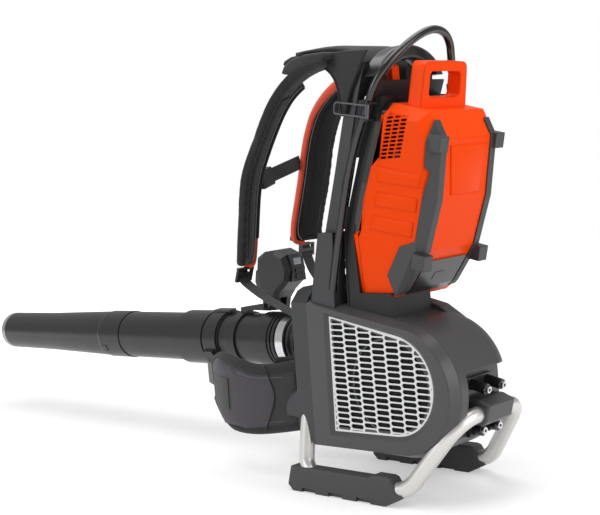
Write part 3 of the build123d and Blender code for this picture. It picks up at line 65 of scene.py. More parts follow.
def at(x, y, z):
    """A datum point in millimetres as a point of the part's frame in metres."""
    return DATUM + Vector((x, y, z)) / 1000


def link_new(name, data):
    """New object in the scene around a mesh, curve, lamp or camera."""
    piece = bpy.data.objects.new(name, data)
    bpy.context.scene.collection.objects.link(piece)
    return piece


print("datum at", [round(c, 4) for c in DATUM], "nodes", len(nodes))

# %% [markdown]
# ## Colours and materials
#
# Every finish is a small procedural node tree: a base colour, a roughness that a fine noise breaks up, and
# a bump for grain or weave. Colours are written as sRGB hex, as a paint shop would name them, and turned
# into the linear values that Blender computes with. Patterns read Object coordinates, so they stay on the
# piece as it moves.


# %% Helpers for materials
# Metres from wave to wave in Blender's wave texture at a scale of 1.
WAVE_PERIOD = 0.314


def hex_colour(text):
    """Linear RGBA from an sRGB hex colour."""
    channels = [int(text[i:i + 2], 16) / 255 for i in (1, 3, 5)]
    linear = [c / 12.92 if c <= 0.04045 else ((c + 0.055) / 1.055) ** 2.4 for c in channels]
    return (*linear, 1.0)


def feed(tree, node, *sources, **settings):
    """Sets up a node. Sources go to its first inputs in turn. A setting names an input, with _ for a space,
    or after a leading _ a property. An output is linked, not copied, and a node means its first output."""
    inputs = dict(enumerate(sources))
    for key, value in settings.items():
        if key.startswith("_"):
            setattr(node, key[1:], value)
        else:
            inputs[key.replace("_", " ")] = value
    for key, value in inputs.items():
        if isinstance(value, bpy.types.Node):
            value = value.outputs[0]
        if isinstance(value, bpy.types.NodeSocket):
            tree.links.new(value, node.inputs[key])
        else:
            node.inputs[key].default_value = value


def add_node(tree, kind, *sources, **settings):
    node = tree.nodes.new(kind)
    node.location.x = 200 * len(tree.nodes)
    feed(tree, node, *sources, **settings)
    return node


def new_material(name):
    """A material, its node tree and its shader."""
    material = bpy.data.materials.new(name)
    material.use_nodes = True
    return material, material.node_tree, material.node_tree.nodes["Principled BSDF"]


def finish_material(name, colour, roughness, metallic=0.0, grain=0.0, grain_size=1500, wear=0.04, coat=0.0,
                    specular=0.5, rounding=0.0):
    """Plastic, rubber or metal: roughness with slight wear, optional grain, clear coat and soft edges."""
    material, tree, shader = new_material(name)
    place = add_node(tree, "ShaderNodeTexCoord").outputs["Object"]
    patches = add_node(tree, "ShaderNodeTexNoise", place, Scale=22.0, Detail=4.0)
    spread = add_node(tree, "ShaderNodeMapRange", patches, To_Min=max(roughness - wear, 0.02),
                      To_Max=min(roughness + wear, 1.0))
    feed(tree, shader, Base_Color=hex_colour(colour), Metallic=metallic, Specular_IOR_Level=specular,
         Coat_Weight=coat, Coat_Roughness=0.08, Roughness=spread)
    if grain:
        texture = add_node(tree, "ShaderNodeTexNoise", place, Scale=grain_size, Detail=2.0)
        bump = add_node(tree, "ShaderNodeBump", Strength=grain, Distance=0.0004, Height=texture)
        feed(tree, shader, Normal=bump)
        if rounding:
            feed(tree, bump, Normal=add_node(tree, "ShaderNodeBevel", Radius=rounding, _samples=6))
    return material


def weave_material(name, colour, thread, pitch, depth, roughness, sheen=0.25):
    """Woven cloth: two crossed waves make raised threads that are also slightly lighter."""
    material, tree, shader = new_material(name)
    place = add_node(tree, "ShaderNodeTexCoord").outputs["Object"]
    waves = [add_node(tree, "ShaderNodeTexWave", place, Scale=WAVE_PERIOD / pitch, _bands_direction=direction)
             for direction in ("X", "Z")]
    cross = add_node(tree, "ShaderNodeMath", *(wave.outputs["Fac"] for wave in waves), _operation="MULTIPLY")
    mix = add_node(tree, "ShaderNodeMix", A=hex_colour(colour), B=hex_colour(thread), Factor=cross,
                   _data_type="RGBA")
    bump = add_node(tree, "ShaderNodeBump", Strength=depth, Distance=0.0006, Height=cross)
    feed(tree, shader, Roughness=roughness, Sheen_Weight=sheen, Base_Color=mix.outputs["Result"],
         Normal=bump)
    return material


# %% [markdown]
# ### The finishes
#
# The blower is mostly moulded plastic. Its battery shell is orange ABS with a smooth, slightly glossy face.
# The fan housing, back plate, posts and pipe are glass-filled nylon, which leaves the mould with a fine
# grain and a soft grey shine. The frame is satin anodised aluminium, the feet and the cable are rubber, and
# the clamps and screws are zinc-plated steel. Light tells them apart more than colour does.

# %% Plastics, rubber and metal
orange_abs = finish_material("orange_abs", "#FF4A02", 0.34, grain=0.03, grain_size=1400, wear=0.05,
                             specular=0.1, rounding=0.005)
housing_nylon = finish_material("housing_nylon", "#454547", 0.36, grain=0.12, wear=0.06,
                                rounding=0.003)
dark_nylon = finish_material("dark_nylon", "#323335", 0.42, grain=0.12, wear=0.06,
                             rounding=0.002)
guard_nylon = finish_material("guard_nylon", "#3C3C3E", 0.5, grain=0.15, grain_size=1300, wear=0.06,
                              rounding=0.003)
black_nylon = finish_material("black_nylon", "#1F2021", 0.3, grain=0.06, coat=0.2)
pipe_nylon = finish_material("pipe_nylon", "#252526", 0.32, grain=0.05, grain_size=1600, wear=0.05)
# Near-black nylon with painted shade: darker than real dark nylon, for the shade under the battery and in the
# carrier.
painted_shade_nylon = finish_material("painted_shade_nylon", "#151516", 0.6, grain=0.1)
tread_rubber = finish_material("tread_rubber", "#464646", 0.62, grain=0.25, grain_size=900, wear=0.08)
hose_rubber = finish_material("hose_rubber", "#1B1B1C", 0.42, grain=0.1, grain_size=1200)
cable_rubber = finish_material("cable_rubber", "#141414", 0.22, grain=0.04, grain_size=1800, coat=0.35)
frame_aluminium = finish_material("frame_aluminium", "#DAD8D5", 0.36, metallic=0.85, grain=0.05,
                                  grain_size=2200)
zinc_steel = finish_material("zinc_steel", "#D6D7D9", 0.24, metallic=1.0, grain=0.04, grain_size=1200)
dark_steel = finish_material("dark_steel", "#5A5B5E", 0.35, metallic=1.0)
grip_nylon = finish_material("grip_nylon", "#202122", 0.38, grain=0.15, grain_size=1300)
copper_winding = finish_material("copper_winding", "#B06A3A", 0.35, metallic=1.0, grain=0.3, grain_size=500)
tip_plastic = finish_material("tip_plastic", "#A9AAAB", 0.3, metallic=0.6)
display_glass = finish_material("display_glass", "#8E9396", 0.12, coat=0.6)
cell_wrap = finish_material("cell_wrap", "#2F6E8F", 0.35)
board_green = finish_material("board_green", "#1F4B35", 0.4)
print("finishes", len(bpy.data.materials))

# %% [markdown]
# ### The cloths
#
# The harness has a few cloths. The shoulder pads are spacer mesh, an open knit that reads as matt black.
# The hip belt has a smooth dark nylon panel with a violet cast. The shoulder pads are bound in orange-red
# nylon, and the straps are flat woven webbing. The real threads are about half a millimetre apart, which is
# finer than a render shows, so the weave is drawn three to five times as coarse.

# %% Cloth materials
spacer_mesh = weave_material("spacer_mesh", "#131314", "#262628", pitch=0.0026, depth=0.8, roughness=0.9,
                             sheen=0.15)
strap_shell = weave_material("strap_shell", "#18191B", "#26272A", pitch=0.0016, depth=0.5, roughness=0.75,
                             sheen=0.2)
belt_nylon = weave_material("belt_nylon", "#2A252E", "#39333F", pitch=0.0014, depth=0.4, roughness=0.6,
                            sheen=0.2)
orange_binding = weave_material("orange_binding", "#D23A0C", "#EE4A10", pitch=0.0016, depth=0.4,
                                roughness=0.6)
webbing_nylon = weave_material("webbing_nylon", "#1E1F21", "#37383A", pitch=0.0018, depth=0.7, roughness=0.7)
thread_light = finish_material("thread_light", "#8B8C8E", 0.6)

NODE_FINISH = [
    (orange_abs, "battery_rear_shell battery_latch"),
    (housing_nylon, "fan_housing inlet_cover anchor_block outlet_elbow fan_duct"),
    # The battery tray is dark nylon, drawn near-black as painted shade under the battery.
    (painted_shade_nylon, "battery_tray"),
    (dark_nylon, "back_plate harness_posts post_sleeves motor_cap impeller cell_tray motor_controller"),
    (grip_nylon, "grip_bracket grip_shell_left grip_shell_right cable_gland harness_buckles"),
    (guard_nylon, "corner_guards"),
    (black_nylon, "carry_handle battery_front_shell mount_yoke status_panel status_button "
                  "mode_button_upper mode_button_lower throttle_trigger grip_display"),
    (pipe_nylon, "swivel_collar rear_pipe middle_pipe pipe_clamp nozzle"),
    (tread_rubber, "rubber_feet"),
    (hose_rubber, "flex_hose"),
    (cable_rubber, "battery_cable"),
    (frame_aluminium, "frame_tube"),
    (zinc_steel, "mount_screws fan_nut rear_hose_clamp front_hose_clamp grip_pivot inlet_grille"),
    (dark_steel, "motor_shaft motor_bearings motor_rotor cable_clip"),
    (copper_winding, "motor_stator"),
    (tip_plastic, "nozzle_ring"),
    (cell_wrap, "battery_cells"),
    (board_green, "battery_board"),
    (spacer_mesh, "back_pad shoulder_yoke left_strap right_strap"),
    (webbing_nylon, "strap_webbing"),
    (belt_nylon, "left_belt right_belt"),
]


def give_finish(piece, material):
    """Puts one material into every slot of a piece."""
    if not piece.material_slots:
        piece.data.materials.append(material)
    for place in piece.material_slots:
        place.material = material


for finish, members in NODE_FINISH:
    for member in members.split():
        give_finish(nodes[member], finish)
finished = {member for finish, members in NODE_FINISH for member in members.split()}
print("nodes without a finish", sorted(set(nodes) - finished))

# %% [markdown]
# ## Camera
#
# A long lens from the operator's left rear, a little above the floor: low enough that the frame stands
# against the floor, far enough that the pipe isn't stretched. The camera leans about five degrees about its
# own axis, so its matrix is made from three directions rather than from a target.

# %% Camera
CAMERA_AZIMUTH = math.radians(44.435)
CAMERA_HEIGHT_ANGLE = math.radians(4.53)
CAMERA_ROLL = math.radians(4.932)
CAMERA_AT = at(1427.903, -1505.810, 546.055)
LENS = 72.0


def camera_matrix():
    """World matrix of a camera that looks along the azimuth, slightly down, rolled about its axis."""
    sine, cosine = math.sin(CAMERA_AZIMUTH), math.cos(CAMERA_AZIMUTH)
    lift, level = math.sin(CAMERA_HEIGHT_ANGLE), math.cos(CAMERA_HEIGHT_ANGLE)
    back = Vector((sine * level, -cosine * level, lift))
    right = Vector((cosine, sine, 0))
    up = back.cross(right)
    rolled_right = math.cos(CAMERA_ROLL) * right - math.sin(CAMERA_ROLL) * up
    rolled_up = math.sin(CAMERA_ROLL) * right + math.cos(CAMERA_ROLL) * up
    matrix = Matrix((rolled_right, rolled_up, back)).transposed().to_4x4()
    matrix.translation = CAMERA_AT
    return matrix


camera = link_new("camera", bpy.data.cameras.new("camera"))
camera.data.lens = LENS
camera.data.sensor_width = 36.0
camera.matrix_world = camera_matrix()
bpy.context.scene.camera = camera
bpy.context.scene.view_settings.view_transform = "Standard"
print("camera at", [round(c, 3) for c in CAMERA_AT])

# %% [markdown]
# ## Floor and light
#
# A product studio: a white floor that keeps only the soft contact shadows, a large soft box overhead, a key
# from the camera's left and a weaker fill from its right. The floor's own glow, which only the camera,
# mirrors and glass see, lifts it to white, so the lamps stay at a level where the colours render as
# written.

# %% Floor and backdrop
FLOOR_RADIUS = 4.0
FLOOR_SIDES = 64
FLOOR_LEVEL = -0.0005
FLOOR_GLOW = 0.40
GLOW_START, GLOW_END = 1.0, 2.2
WORLD_LIGHT = 0.45
WHITE = (1, 1, 1, 1)


def floor_material():
    """Diffuse floor that takes shadows, plus a glow for the camera that turns white away from the object."""
    material, tree, shader = new_material("studio_floor")
    feed(tree, shader, Base_Color=hex_colour("#D8D8D8"), Roughness=0.9, Specular_IOR_Level=0.0)
    coordinates = add_node(tree, "ShaderNodeTexCoord")
    reach = add_node(tree, "ShaderNodeVectorMath", coordinates.outputs["Object"], _operation="LENGTH")
    glow = add_node(tree, "ShaderNodeMapRange", reach.outputs["Value"], To_Min=FLOOR_GLOW, To_Max=1.0,
                    From_Min=GLOW_START, From_Max=GLOW_END)
    path = add_node(tree, "ShaderNodeLightPath").outputs
    seen = add_node(tree, "ShaderNodeMath", path["Is Camera Ray"], path["Is Glossy Ray"],
                    _operation="MAXIMUM")
    seen = add_node(tree, "ShaderNodeMath", seen, path["Is Transmission Ray"], _operation="MAXIMUM")
    strength = add_node(tree, "ShaderNodeMath", seen, glow, _operation="MULTIPLY")
    emission = add_node(tree, "ShaderNodeEmission", Color=WHITE, Strength=strength)
    feed(tree, tree.nodes["Material Output"], Surface=add_node(tree, "ShaderNodeAddShader", shader, emission))
    return material


floor_mesh = bpy.data.meshes.new("studio_floor")
turns = [math.tau * i / FLOOR_SIDES for i in range(FLOOR_SIDES)]
rim = [(FLOOR_RADIUS * math.cos(turn), FLOOR_RADIUS * math.sin(turn), FLOOR_LEVEL) for turn in turns]
floor_mesh.from_pydata(rim, [], [list(range(FLOOR_SIDES))])
floor = link_new("studio_floor", floor_mesh)
give_finish(floor, floor_material())

world = bpy.data.worlds.new("studio")
bpy.context.scene.world = world
world.use_nodes = True
sky_path = add_node(world.node_tree, "ShaderNodeLightPath")
sky_level = add_node(world.node_tree, "ShaderNodeMapRange", sky_path.outputs["Is Camera Ray"],
                     To_Min=WORLD_LIGHT, To_Max=1.0)
feed(world.node_tree, world.node_tree.nodes["Background"], Color=WHITE, Strength=sky_level)
print("floor and sky made")


# %% Lamps
MIDDLE = Vector((0.3, 0.0, 0.35))


def soft_box(name, place, size, power):
    """Square area lamp at place, turned towards the middle of the blower."""
    lamp = bpy.data.lights.new(name, "AREA")
    lamp.energy = power
    lamp.size = size
    piece = link_new(name, lamp)
    piece.location = place
    piece.rotation_euler = (MIDDLE - Vector(place)).to_track_quat("-Z", "Y").to_euler()


soft_box("overhead", (0.2, 0.1, 2.6), 2.4, 46)
soft_box("key_left", (-0.6, -2.6, 1.5), 1.5, 26)
soft_box("fill_right", (2.8, 0.2, 1.0), 1.6, 20)
print("lamps placed")


# %% [markdown]
# ## Helpers for shapes
#
# Soft and bent pieces share a few tools. smooth_path draws a NURBS line that a few control points pull into
# shape. sweep carries a closed profile along such a line, and makes webbing, bindings and piping. slab
# makes a flat piece with rounded edges. settle shades a finished mesh smooth, puts it on its body and
# hides the CAD nodes that it stands for.


# %% Shape helpers
SMOOTH_ANGLE = math.radians(38)


def evaluated_copy(piece, name):
    """New plain mesh object from a piece with its modifiers applied; the piece itself is removed."""
    bpy.context.view_layer.update()
    graph = bpy.context.evaluated_depsgraph_get()
    mesh = bpy.data.meshes.new_from_object(piece.evaluated_get(graph))
    bpy.data.objects.remove(piece)
    mesh.name = name
    return link_new(name, mesh)


def settle(piece, body, slot_name, *replaced):
    """Finished piece: smooth by angle, on its body, with the nodes it stands for hidden; slot_name is not
    used.
    """
    piece.data.shade_smooth()
    piece.data.set_sharp_from_angle(angle=SMOOTH_ANGLE)
    if body:
        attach(piece, body)
    if replaced:
        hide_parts(*replaced)
    print(piece.name, len(piece.data.polygons), "faces")
    return piece


def sewn(piece, *replaced):
    """Finished piece of the harness, on the frame."""
    settle(piece, "frame", "black_fabric", *replaced)


def put_material(piece, *materials):
    """Gives a piece these materials and no others."""
    piece.data.materials.clear()
    for material in materials:
        piece.data.materials.append(material)
    return piece


def nurbs_curve(name, points):
    """Curve object with one open NURBS spline of order 3, from control points in datum millimetres."""
    curve = bpy.data.curves.new(name, "CURVE")
    curve.dimensions = "3D"
    spline = curve.splines.new("NURBS")
    spline.points.add(len(points) - 1)
    for place, point in zip(spline.points, points):
        place.co = (*at(*point), 1.0)
    spline.order_u = 3
    spline.use_endpoint_u = True
    return link_new(name, curve)


def smooth_path(points, steps=6):
    """Points in the part's frame along the NURBS line with these control points in datum millimetres."""
    piece = nurbs_curve("path", points)
    piece.data.splines[0].resolution_u = steps
    mesh = bpy.data.meshes.new_from_object(piece)
    line = [vertex.co.copy() for vertex in mesh.vertices]
    bpy.data.objects.remove(piece)
    bpy.data.meshes.remove(mesh)
    return line


def mesh_object(name, shape):
    """Mesh object from a bmesh, which is freed."""
    mesh = bpy.data.meshes.new(name)
    shape.to_mesh(mesh)
    shape.free()
    return link_new(name, mesh)


def skinned(name, shape, rings, closed):
    """Mesh object from rings of vertices: the last one meets the first if closed, else both ends get caps."""
    count = len(rings[0])
    followers = rings[1:] + rings[:1] if closed else rings[1:]
    for ring, after in zip(rings, followers):
        for k in range(count):
            shape.faces.new((ring[k], ring[(k + 1) % count], after[(k + 1) % count], after[k]))
    if not closed:
        shape.faces.new(rings[0])
        shape.faces.new(list(reversed(rings[-1])))
    bmesh.ops.recalc_face_normals(shape, faces=shape.faces)
    return mesh_object(name, shape)


def sweep(name, line, across, profile):
    """Closed profile of (a, b) pairs carried along a line: a lies along across, b square to it."""
    shape = bmesh.new()
    rings = []
    for i, point in enumerate(line):
        tangent = (line[min(i + 1, len(line) - 1)] - line[max(i - 1, 0)]).normalized()
        up = tangent.cross(across).normalized()
        side = up.cross(tangent).normalized()
        rings.append([shape.verts.new(point + side * a + up * b) for a, b in profile])
    return skinned(name, shape, rings, closed=False)


def slab(name, near, far, rounding, material):
    """Flat solid between two matching outlines of points in the part's frame, with rounded edges."""
    shape = bmesh.new()
    near = [shape.verts.new(point) for point in near]
    far = [shape.verts.new(point) for point in far]
    shape.faces.new(near)
    shape.faces.new(list(reversed(far)))
    for i in range(len(near)):
        j = (i + 1) % len(near)
        shape.faces.new((near[i], far[i], far[j], near[j]))
    bmesh.ops.recalc_face_normals(shape, faces=shape.faces)
    piece = mesh_object(name + "_start", shape)
    edge = piece.modifiers.new("Edge", "BEVEL")
    edge.width = rounding
    edge.segments = 3
    return put_material(evaluated_copy(piece, name), material)


def round_profile(half_a, half_b, count=10):
    """Closed oval profile."""
    turns = [math.tau * k / count for k in range(count)]
    return [(half_a * math.cos(turn), half_b * math.sin(turn)) for turn in turns]


def flat_profile(half_width, half_thick):
    """Flat band with rounded edges."""
    edge = half_thick * 0.8
    return [(-half_width, 0), (-half_width + edge, -half_thick), (0, -half_thick * 1.05),
            (half_width - edge, -half_thick), (half_width, 0), (half_width - edge, half_thick),
            (0, half_thick * 1.05), (-half_width + edge, half_thick)]


def joined(name, pieces):
    """One object from several plain mesh objects."""
    shape = bmesh.new()
    materials = []
    for piece in pieces:
        start = len(shape.faces)
        shape.from_mesh(piece.data)
        shape.faces.ensure_lookup_table()
        offset = len(materials)
        for face in shape.faces[start:]:
            face.material_index += offset
        materials += [place.material for place in piece.material_slots] or [None]
        bpy.data.objects.remove(piece)
    piece = mesh_object(name, shape)
    for material in materials:
        piece.data.materials.append(material)
    return piece


# %% [markdown]
# ## The battery cable
#
# A rubber lead as thick as a finger carries the battery's current. It leaves the gland behind the battery's
# handle, arches over, is held against the left post by the wire clip, and goes into the fan unit beside the
# post. Its whole length shows: 0.62 m. It is stiff, so every bend is wide. It is drawn as a NURBS line on
# the same route as the CAD tube, with a round bevel.

# %% Cable
CABLE_ROUTE = [(262, 67, 640), (262, 67, 690), (266, 62, 716), (272, 38, 733), (271, 4, 735), (266, -40, 716),
               (256, -76, 690), (238, -94, 662), (214, -95, 618), (190, -94, 580), (166, -94, 526),
               (148, -94, 470), (133, -94, 418), (120, -94, 368), (112, -94, 336)]
CABLE_DIAMETER = 0.013
cable = nurbs_curve("battery_lead", CABLE_ROUTE)
cable.data.splines[0].resolution_u = 12
cable.data.bevel_depth = CABLE_DIAMETER / 2
cable.data.bevel_resolution = 6
cable.data.use_fill_caps = True
cable.data.materials.append(cable_rubber)
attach(cable, "frame")
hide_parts("battery_cable")
print("cable control points", len(CABLE_ROUTE))

# %% [markdown]
# ## Padded pieces
#
# The shoulder pads, the yoke, the hip belt and the back pad are foam sewn between two cloths. Each starts
# as its CAD solid, is remeshed into small even cells and slightly shrunk, and is blown up by Blender's
# cloth with a little pressure and no gravity. A cap on how far any point may move keeps each pad in the
# space it has. The bindings and stitches come after, because a remesh would swallow them.

# %% Puff a pad from its CAD solid
CLOTH_FRAMES = 18
FOAM_PRESSURE = 4.0
CLOTH_STIFFNESS = 15


def puffed(node, name, voxel, shrink, cap):
    """Padded copy of a CAD node: remeshed, blown up a little, capped and smoothed."""
    mesh = nodes[node].data.copy()
    shape = bmesh.new()
    shape.from_mesh(mesh)
    bmesh.ops.remove_doubles(shape, verts=shape.verts, dist=1e-5)
    shape.to_mesh(mesh)
    shape.free()
    piece = link_new(name + "_start", mesh)
    remesh = piece.modifiers.new("Even cells", "REMESH")
    remesh.mode = "VOXEL"
    remesh.voxel_size = voxel
    tuck = piece.modifiers.new("Tuck in", "DISPLACE")
    tuck.strength = -shrink
    tuck.mid_level = 0.0
    piece = evaluated_copy(piece, name)
    rest = [vertex.co.copy() for vertex in piece.data.vertices]
    cloth = piece.modifiers.new("Foam", "CLOTH")
    foam = cloth.settings
    foam.quality = 5
    foam.use_pressure = True
    foam.uniform_pressure_force = FOAM_PRESSURE
    foam.tension_stiffness = CLOTH_STIFFNESS
    foam.compression_stiffness = CLOTH_STIFFNESS
    foam.bending_stiffness = 0.5
    foam.effector_weights.gravity = 0.0
    cloth.point_cache.frame_start = 1
    cloth.point_cache.frame_end = CLOTH_FRAMES
    for moment in range(1, CLOTH_FRAMES + 1):
        bpy.context.scene.frame_set(moment)
    graph = bpy.context.evaluated_depsgraph_get()
    blown = [vertex.co.copy() for vertex in piece.evaluated_get(graph).data.vertices]
    piece.modifiers.clear()
    bpy.context.scene.frame_set(1)
    for vertex, old, new in zip(piece.data.vertices, rest, blown):
        move = new - old
        vertex.co = old + move * min(1.0, cap / max(move.length, 1e-9))
    smooth = piece.modifiers.new("Soften", "SMOOTH")
    smooth.factor = 0.5
    smooth.iterations = 3
    rounds = piece.modifiers.new("Round", "SUBSURF")
    rounds.levels = rounds.render_levels = 1
    return evaluated_copy(piece, name)


def welt(name, points, across, half_a, half_b, material):
    """Round or oval edge binding along control points given in datum millimetres."""
    return put_material(sweep(name, smooth_path(points), across, round_profile(half_a, half_b)), material)


# %% [markdown]
# ### Shoulder pads
#
# Each pad is rolled about its length, with the inner edge forward, as a pad lies on a chest. Its face
# towards the wearer is spacer mesh with a raised middle, and a binding runs down the inner edge and round
# the lower end: orange-red on the right pad, and black with an orange-red lower end on the left one. A
# light thread marks where the binding is sewn on.

# %% Shoulder pads
STRAP_Y = 86.0
STRAP_HALF = 28.0
STRAP_ROLL = 14.0
LEFT_STRAP = [(140, 698), (96, 694), (34, 664), (3, 634), (-22, 600), (-47, 562), (-65, 530), (-75, 499),
              (-82, 465), (-90, 422), (-98, 373)]
RIGHT_STRAP = [(140, 698), (96, 694), (50, 686), (4, 664), (-30, 634), (-46, 607), (-61, 572), (-76, 518),
               (-94, 465), (-105, 434), (-112, 398)]
EDGE_STATIONS = (1.6, 2, 3, 4, 5, 6, 7, 8, 9)
MIDDLE_STATIONS = (2.2, 3, 4, 5, 6, 7, 8, 9)


def strap_across(side):
    """Direction across a shoulder pad, from its inner edge to its outer edge."""
    return Vector((STRAP_ROLL, side * STRAP_HALF, 0)).normalized()


def strap_point(line, side, along, share, lift):
    """Point on a shoulder pad: along is a place in the line's points, share runs from -1, the inner edge,
    to 1, the outer edge, and lift is the distance from the pad's middle towards the wearer."""
    first = min(int(along), len(line) - 2)
    part = along - first
    (x0, z0), (x1, z1) = line[first:first + 2]
    x = x0 * (1 - part) + x1 * part
    z = z0 * (1 - part) + z1 * part
    run = Vector((x1 - x0, 0, z1 - z0)).normalized()
    out = run.cross(strap_across(side)).normalized()
    if out.x < 0:
        out = -out
    point = Vector((x + STRAP_ROLL * share, side * (STRAP_Y + STRAP_HALF * share), z)) + out * lift
    return tuple(point)


def strap_row(line, side, stations, share, lift, ends):
    """Points down a pad at one share and lift, then the ends, each given as its distance from the last point,
    its share and its lift."""
    rows = [(along, share, lift) for along in stations]
    rows += [(len(line) - 1.0 - back, end_share, end_lift) for back, end_share, end_lift in ends]
    return [strap_point(line, side, *row) for row in rows]


def shoulder_pad(name, node, line, side, binding_from=0):
    """Pad with its binding, which is orange from one of the edge points downwards and black above it."""
    pad = put_material(puffed(node, name, voxel=0.0045, shrink=0.0015, cap=0.0025), spacer_mesh)
    across = strap_across(side)
    edge = strap_row(line, side, EDGE_STATIONS, -0.93, 2.5,
                     [(0.25, -0.9, 2.0), (0.02, -0.6, 1.5), (0.02, -0.2, 1.5)])
    binding = welt(name + "_binding", edge[binding_from:], across, 0.0045, 0.0088, orange_binding)
    if binding_from:
        dark = welt(name + "_dark_binding", edge[:binding_from + 1], across, 0.0062, 0.0105, spacer_mesh)
        sewn(dark)
    seam = strap_row(line, side, EDGE_STATIONS, -0.72, 8.6, [(0.35, -0.66, 8.4), (0.22, -0.4, 8.0)])
    thread = welt(name + "_thread", seam, across, 0.0009, 0.0009, thread_light)
    middle = strap_row(line, side, MIDDLE_STATIONS, 0.12, 8.2, [(0.4, 0.12, 7.4)])
    raised = sweep(name + "_middle", smooth_path(middle), across, round_profile(0.0145, 0.0032, 14))
    put_material(raised, spacer_mesh)
    sewn(pad, node)
    for extra in (binding, thread, raised):
        sewn(extra)


shoulder_pad("left_shoulder_pad", "left_strap", LEFT_STRAP, -1, binding_from=8)
shoulder_pad("right_shoulder_pad", "right_strap", RIGHT_STRAP, 1)

# %% [markdown]
# ### Yoke
#
# The yoke hangs the two shoulder pads on the posts. It is a wide panel that narrows into both pads.

# %% Yoke
yoke = put_material(puffed("shoulder_yoke", "yoke_pad", voxel=0.004, shrink=0.0015, cap=0.003), strap_shell)
sewn(yoke, "shoulder_yoke")

# %% [markdown]
# ### Back pad
#
# A pad of spacer mesh keeps the frame off the wearer's back.

# %% Back pad
rest_pad = puffed("back_pad", "back_rest_pad", voxel=0.005, shrink=0.003, cap=0.005)
sewn(put_material(rest_pad, spacer_mesh), "back_pad")

# %% [markdown]
# ### Hip belt
#
# Each wing is a foam pad. Its front is covered with smooth violet-black nylon and its rear with dark cloth.
# A black binding closes the top and bottom edges. On the left wing a welt covers the seam between the two
# covers, and a webbing tab, sewn flat, leads to the buckle.

# %% Hip belt
LEFT_BELT = [(9, -84), (-60, -86), (-130, -84), (-196, -72), (-246, -46)]
RIGHT_BELT = [(9, 74), (-40, 70), (-90, 60), (-132, 40), (-160, 14)]
LEFT_TOP = [(9, 204), (-25, 196), (-92, 188), (-150, 198), (-214, 207), (-246, 188)]
LEFT_LOW = [(9, 103), (-29, 95), (-132, 79), (-202, 86), (-246, 124)]
RIGHT_TOP = [(9, 192), (-13, 188), (-81, 181), (-152, 180)]
RIGHT_LOW = [(9, 107), (-60, 98), (-132, 101), (-160, 138)]
BELT_SEAM_X = -43.0
BELT_SEAM_Z = 150.0
BELT_SEAM_SWEEP = 24.0
BELT_SEAM_HALF = 55.0
BELT_TAB = [(-172, 143), (-190, 144), (-215, 144), (-238, 146)]
BELT_TAB_OUT = 9.6
UP = Vector((0, 0, 1))
SIDEWAYS = Vector((0, 1, 0))


def follow(line, key):
    """Second coordinate of a line of pairs where its first, which falls along it, comes down to the key."""
    for (x0, y0), (x1, y1) in zip(line, line[1:]):
        if key >= x1:
            return y0 + (key - x0) * (y1 - y0) / (x1 - x0)
    return line[-1][1]


def on_belt(line, edge, out=0.0, rise=0.0):
    """Points along a belt wing for (x, z) pairs: out moves them away from the wing's middle to the left."""
    return [(x, follow(line, x) - out, z + rise) for x, z in edge]


def two_covers(piece, front, rear):
    """Front cover on the faces ahead of the seam, rear cover behind it."""
    put_material(piece, front, rear)
    for face in piece.data.polygons:
        centre = face.center - DATUM
        seam = BELT_SEAM_X - BELT_SEAM_SWEEP * abs(centre.z * 1000 - BELT_SEAM_Z) / BELT_SEAM_HALF
        face.material_index = 1 if centre.x * 1000 > seam else 0


for node, line, top, low in (("left_belt", LEFT_BELT, LEFT_TOP, LEFT_LOW),
                             ("right_belt", RIGHT_BELT, RIGHT_TOP, RIGHT_LOW)):
    wing = puffed(node, f"{node}_pad", voxel=0.0045, shrink=0.001, cap=0.0025)
    two_covers(wing, belt_nylon, strap_shell)
    settle(wing, "frame", "belt_fabric", node)
    for place, edge, half in (("top", top, 0.012), ("low", low, 0.009)):
        sewn(welt(f"{node}_pad_{place}_binding", on_belt(line, edge), UP, half, 0.0092, spacer_mesh))

seam_line = [(-66, -94.4, 203), (-54, -94.6, 176), (-44, -94.2, 150), (-58, -94.6, 118), (-76, -94.4, 86)]
sewn(welt("belt_seam", seam_line, SIDEWAYS, 0.0012, 0.0016, strap_shell))
tab_line = smooth_path(on_belt(LEFT_BELT, BELT_TAB, BELT_TAB_OUT))
belt_tab = sweep("belt_tab", tab_line, UP, flat_profile(0.029, 0.0016))
sewn(put_material(belt_tab, webbing_nylon))

# %% [markdown]
# ### Webbing
#
# Flat woven straps, 25 mm wide. They are too thin for a remesh, so a flat profile with rounded edges is
# swept along each one's line: two pull straps from the pads to the frame, and the chest strap.

# %% Webbing
WEB_HALF = 0.0125
WEB_HALF_THICK = 0.0012
LEFT_WEB = [(-107.5, 372), (-108.5, 350), (-84, 335), (-49, 316), (21.9, 289)]
RIGHT_WEB = [(-117, 398), (-116, 374), (-94, 330), (-50, 305), (22.0, 290)]
CHEST_Z = 532.0
CHEST_TILT = math.radians(14)


def web_band(name, points, across):
    """Flat strap along control points in datum millimetres."""
    band = sweep(name, smooth_path(points), across, flat_profile(WEB_HALF, WEB_HALF_THICK))
    return put_material(band, webbing_nylon)


def chest_strap():
    """Strap between both pads' inner edges, its right end higher."""
    edge = STRAP_Y - STRAP_HALF - 0.5
    rise = edge * math.sin(CHEST_TILT)
    left = follow([(z, x) for x, z in LEFT_STRAP], CHEST_Z - rise) - STRAP_ROLL
    right = follow([(z, x) for x, z in RIGHT_STRAP], CHEST_Z + rise) - STRAP_ROLL
    turn = Matrix.Rotation(CHEST_TILT, 3, "X")
    flat = [(left, -edge), ((2 * left + right) / 3, -edge / 3), ((left + 2 * right) / 3, edge / 3),
            (right, edge)]
    turned = [turn @ Vector((x, y, 0)) for x, y in flat]
    return web_band("chest", [(point.x, point.y, point.z + CHEST_Z) for point in turned], turn @ UP)


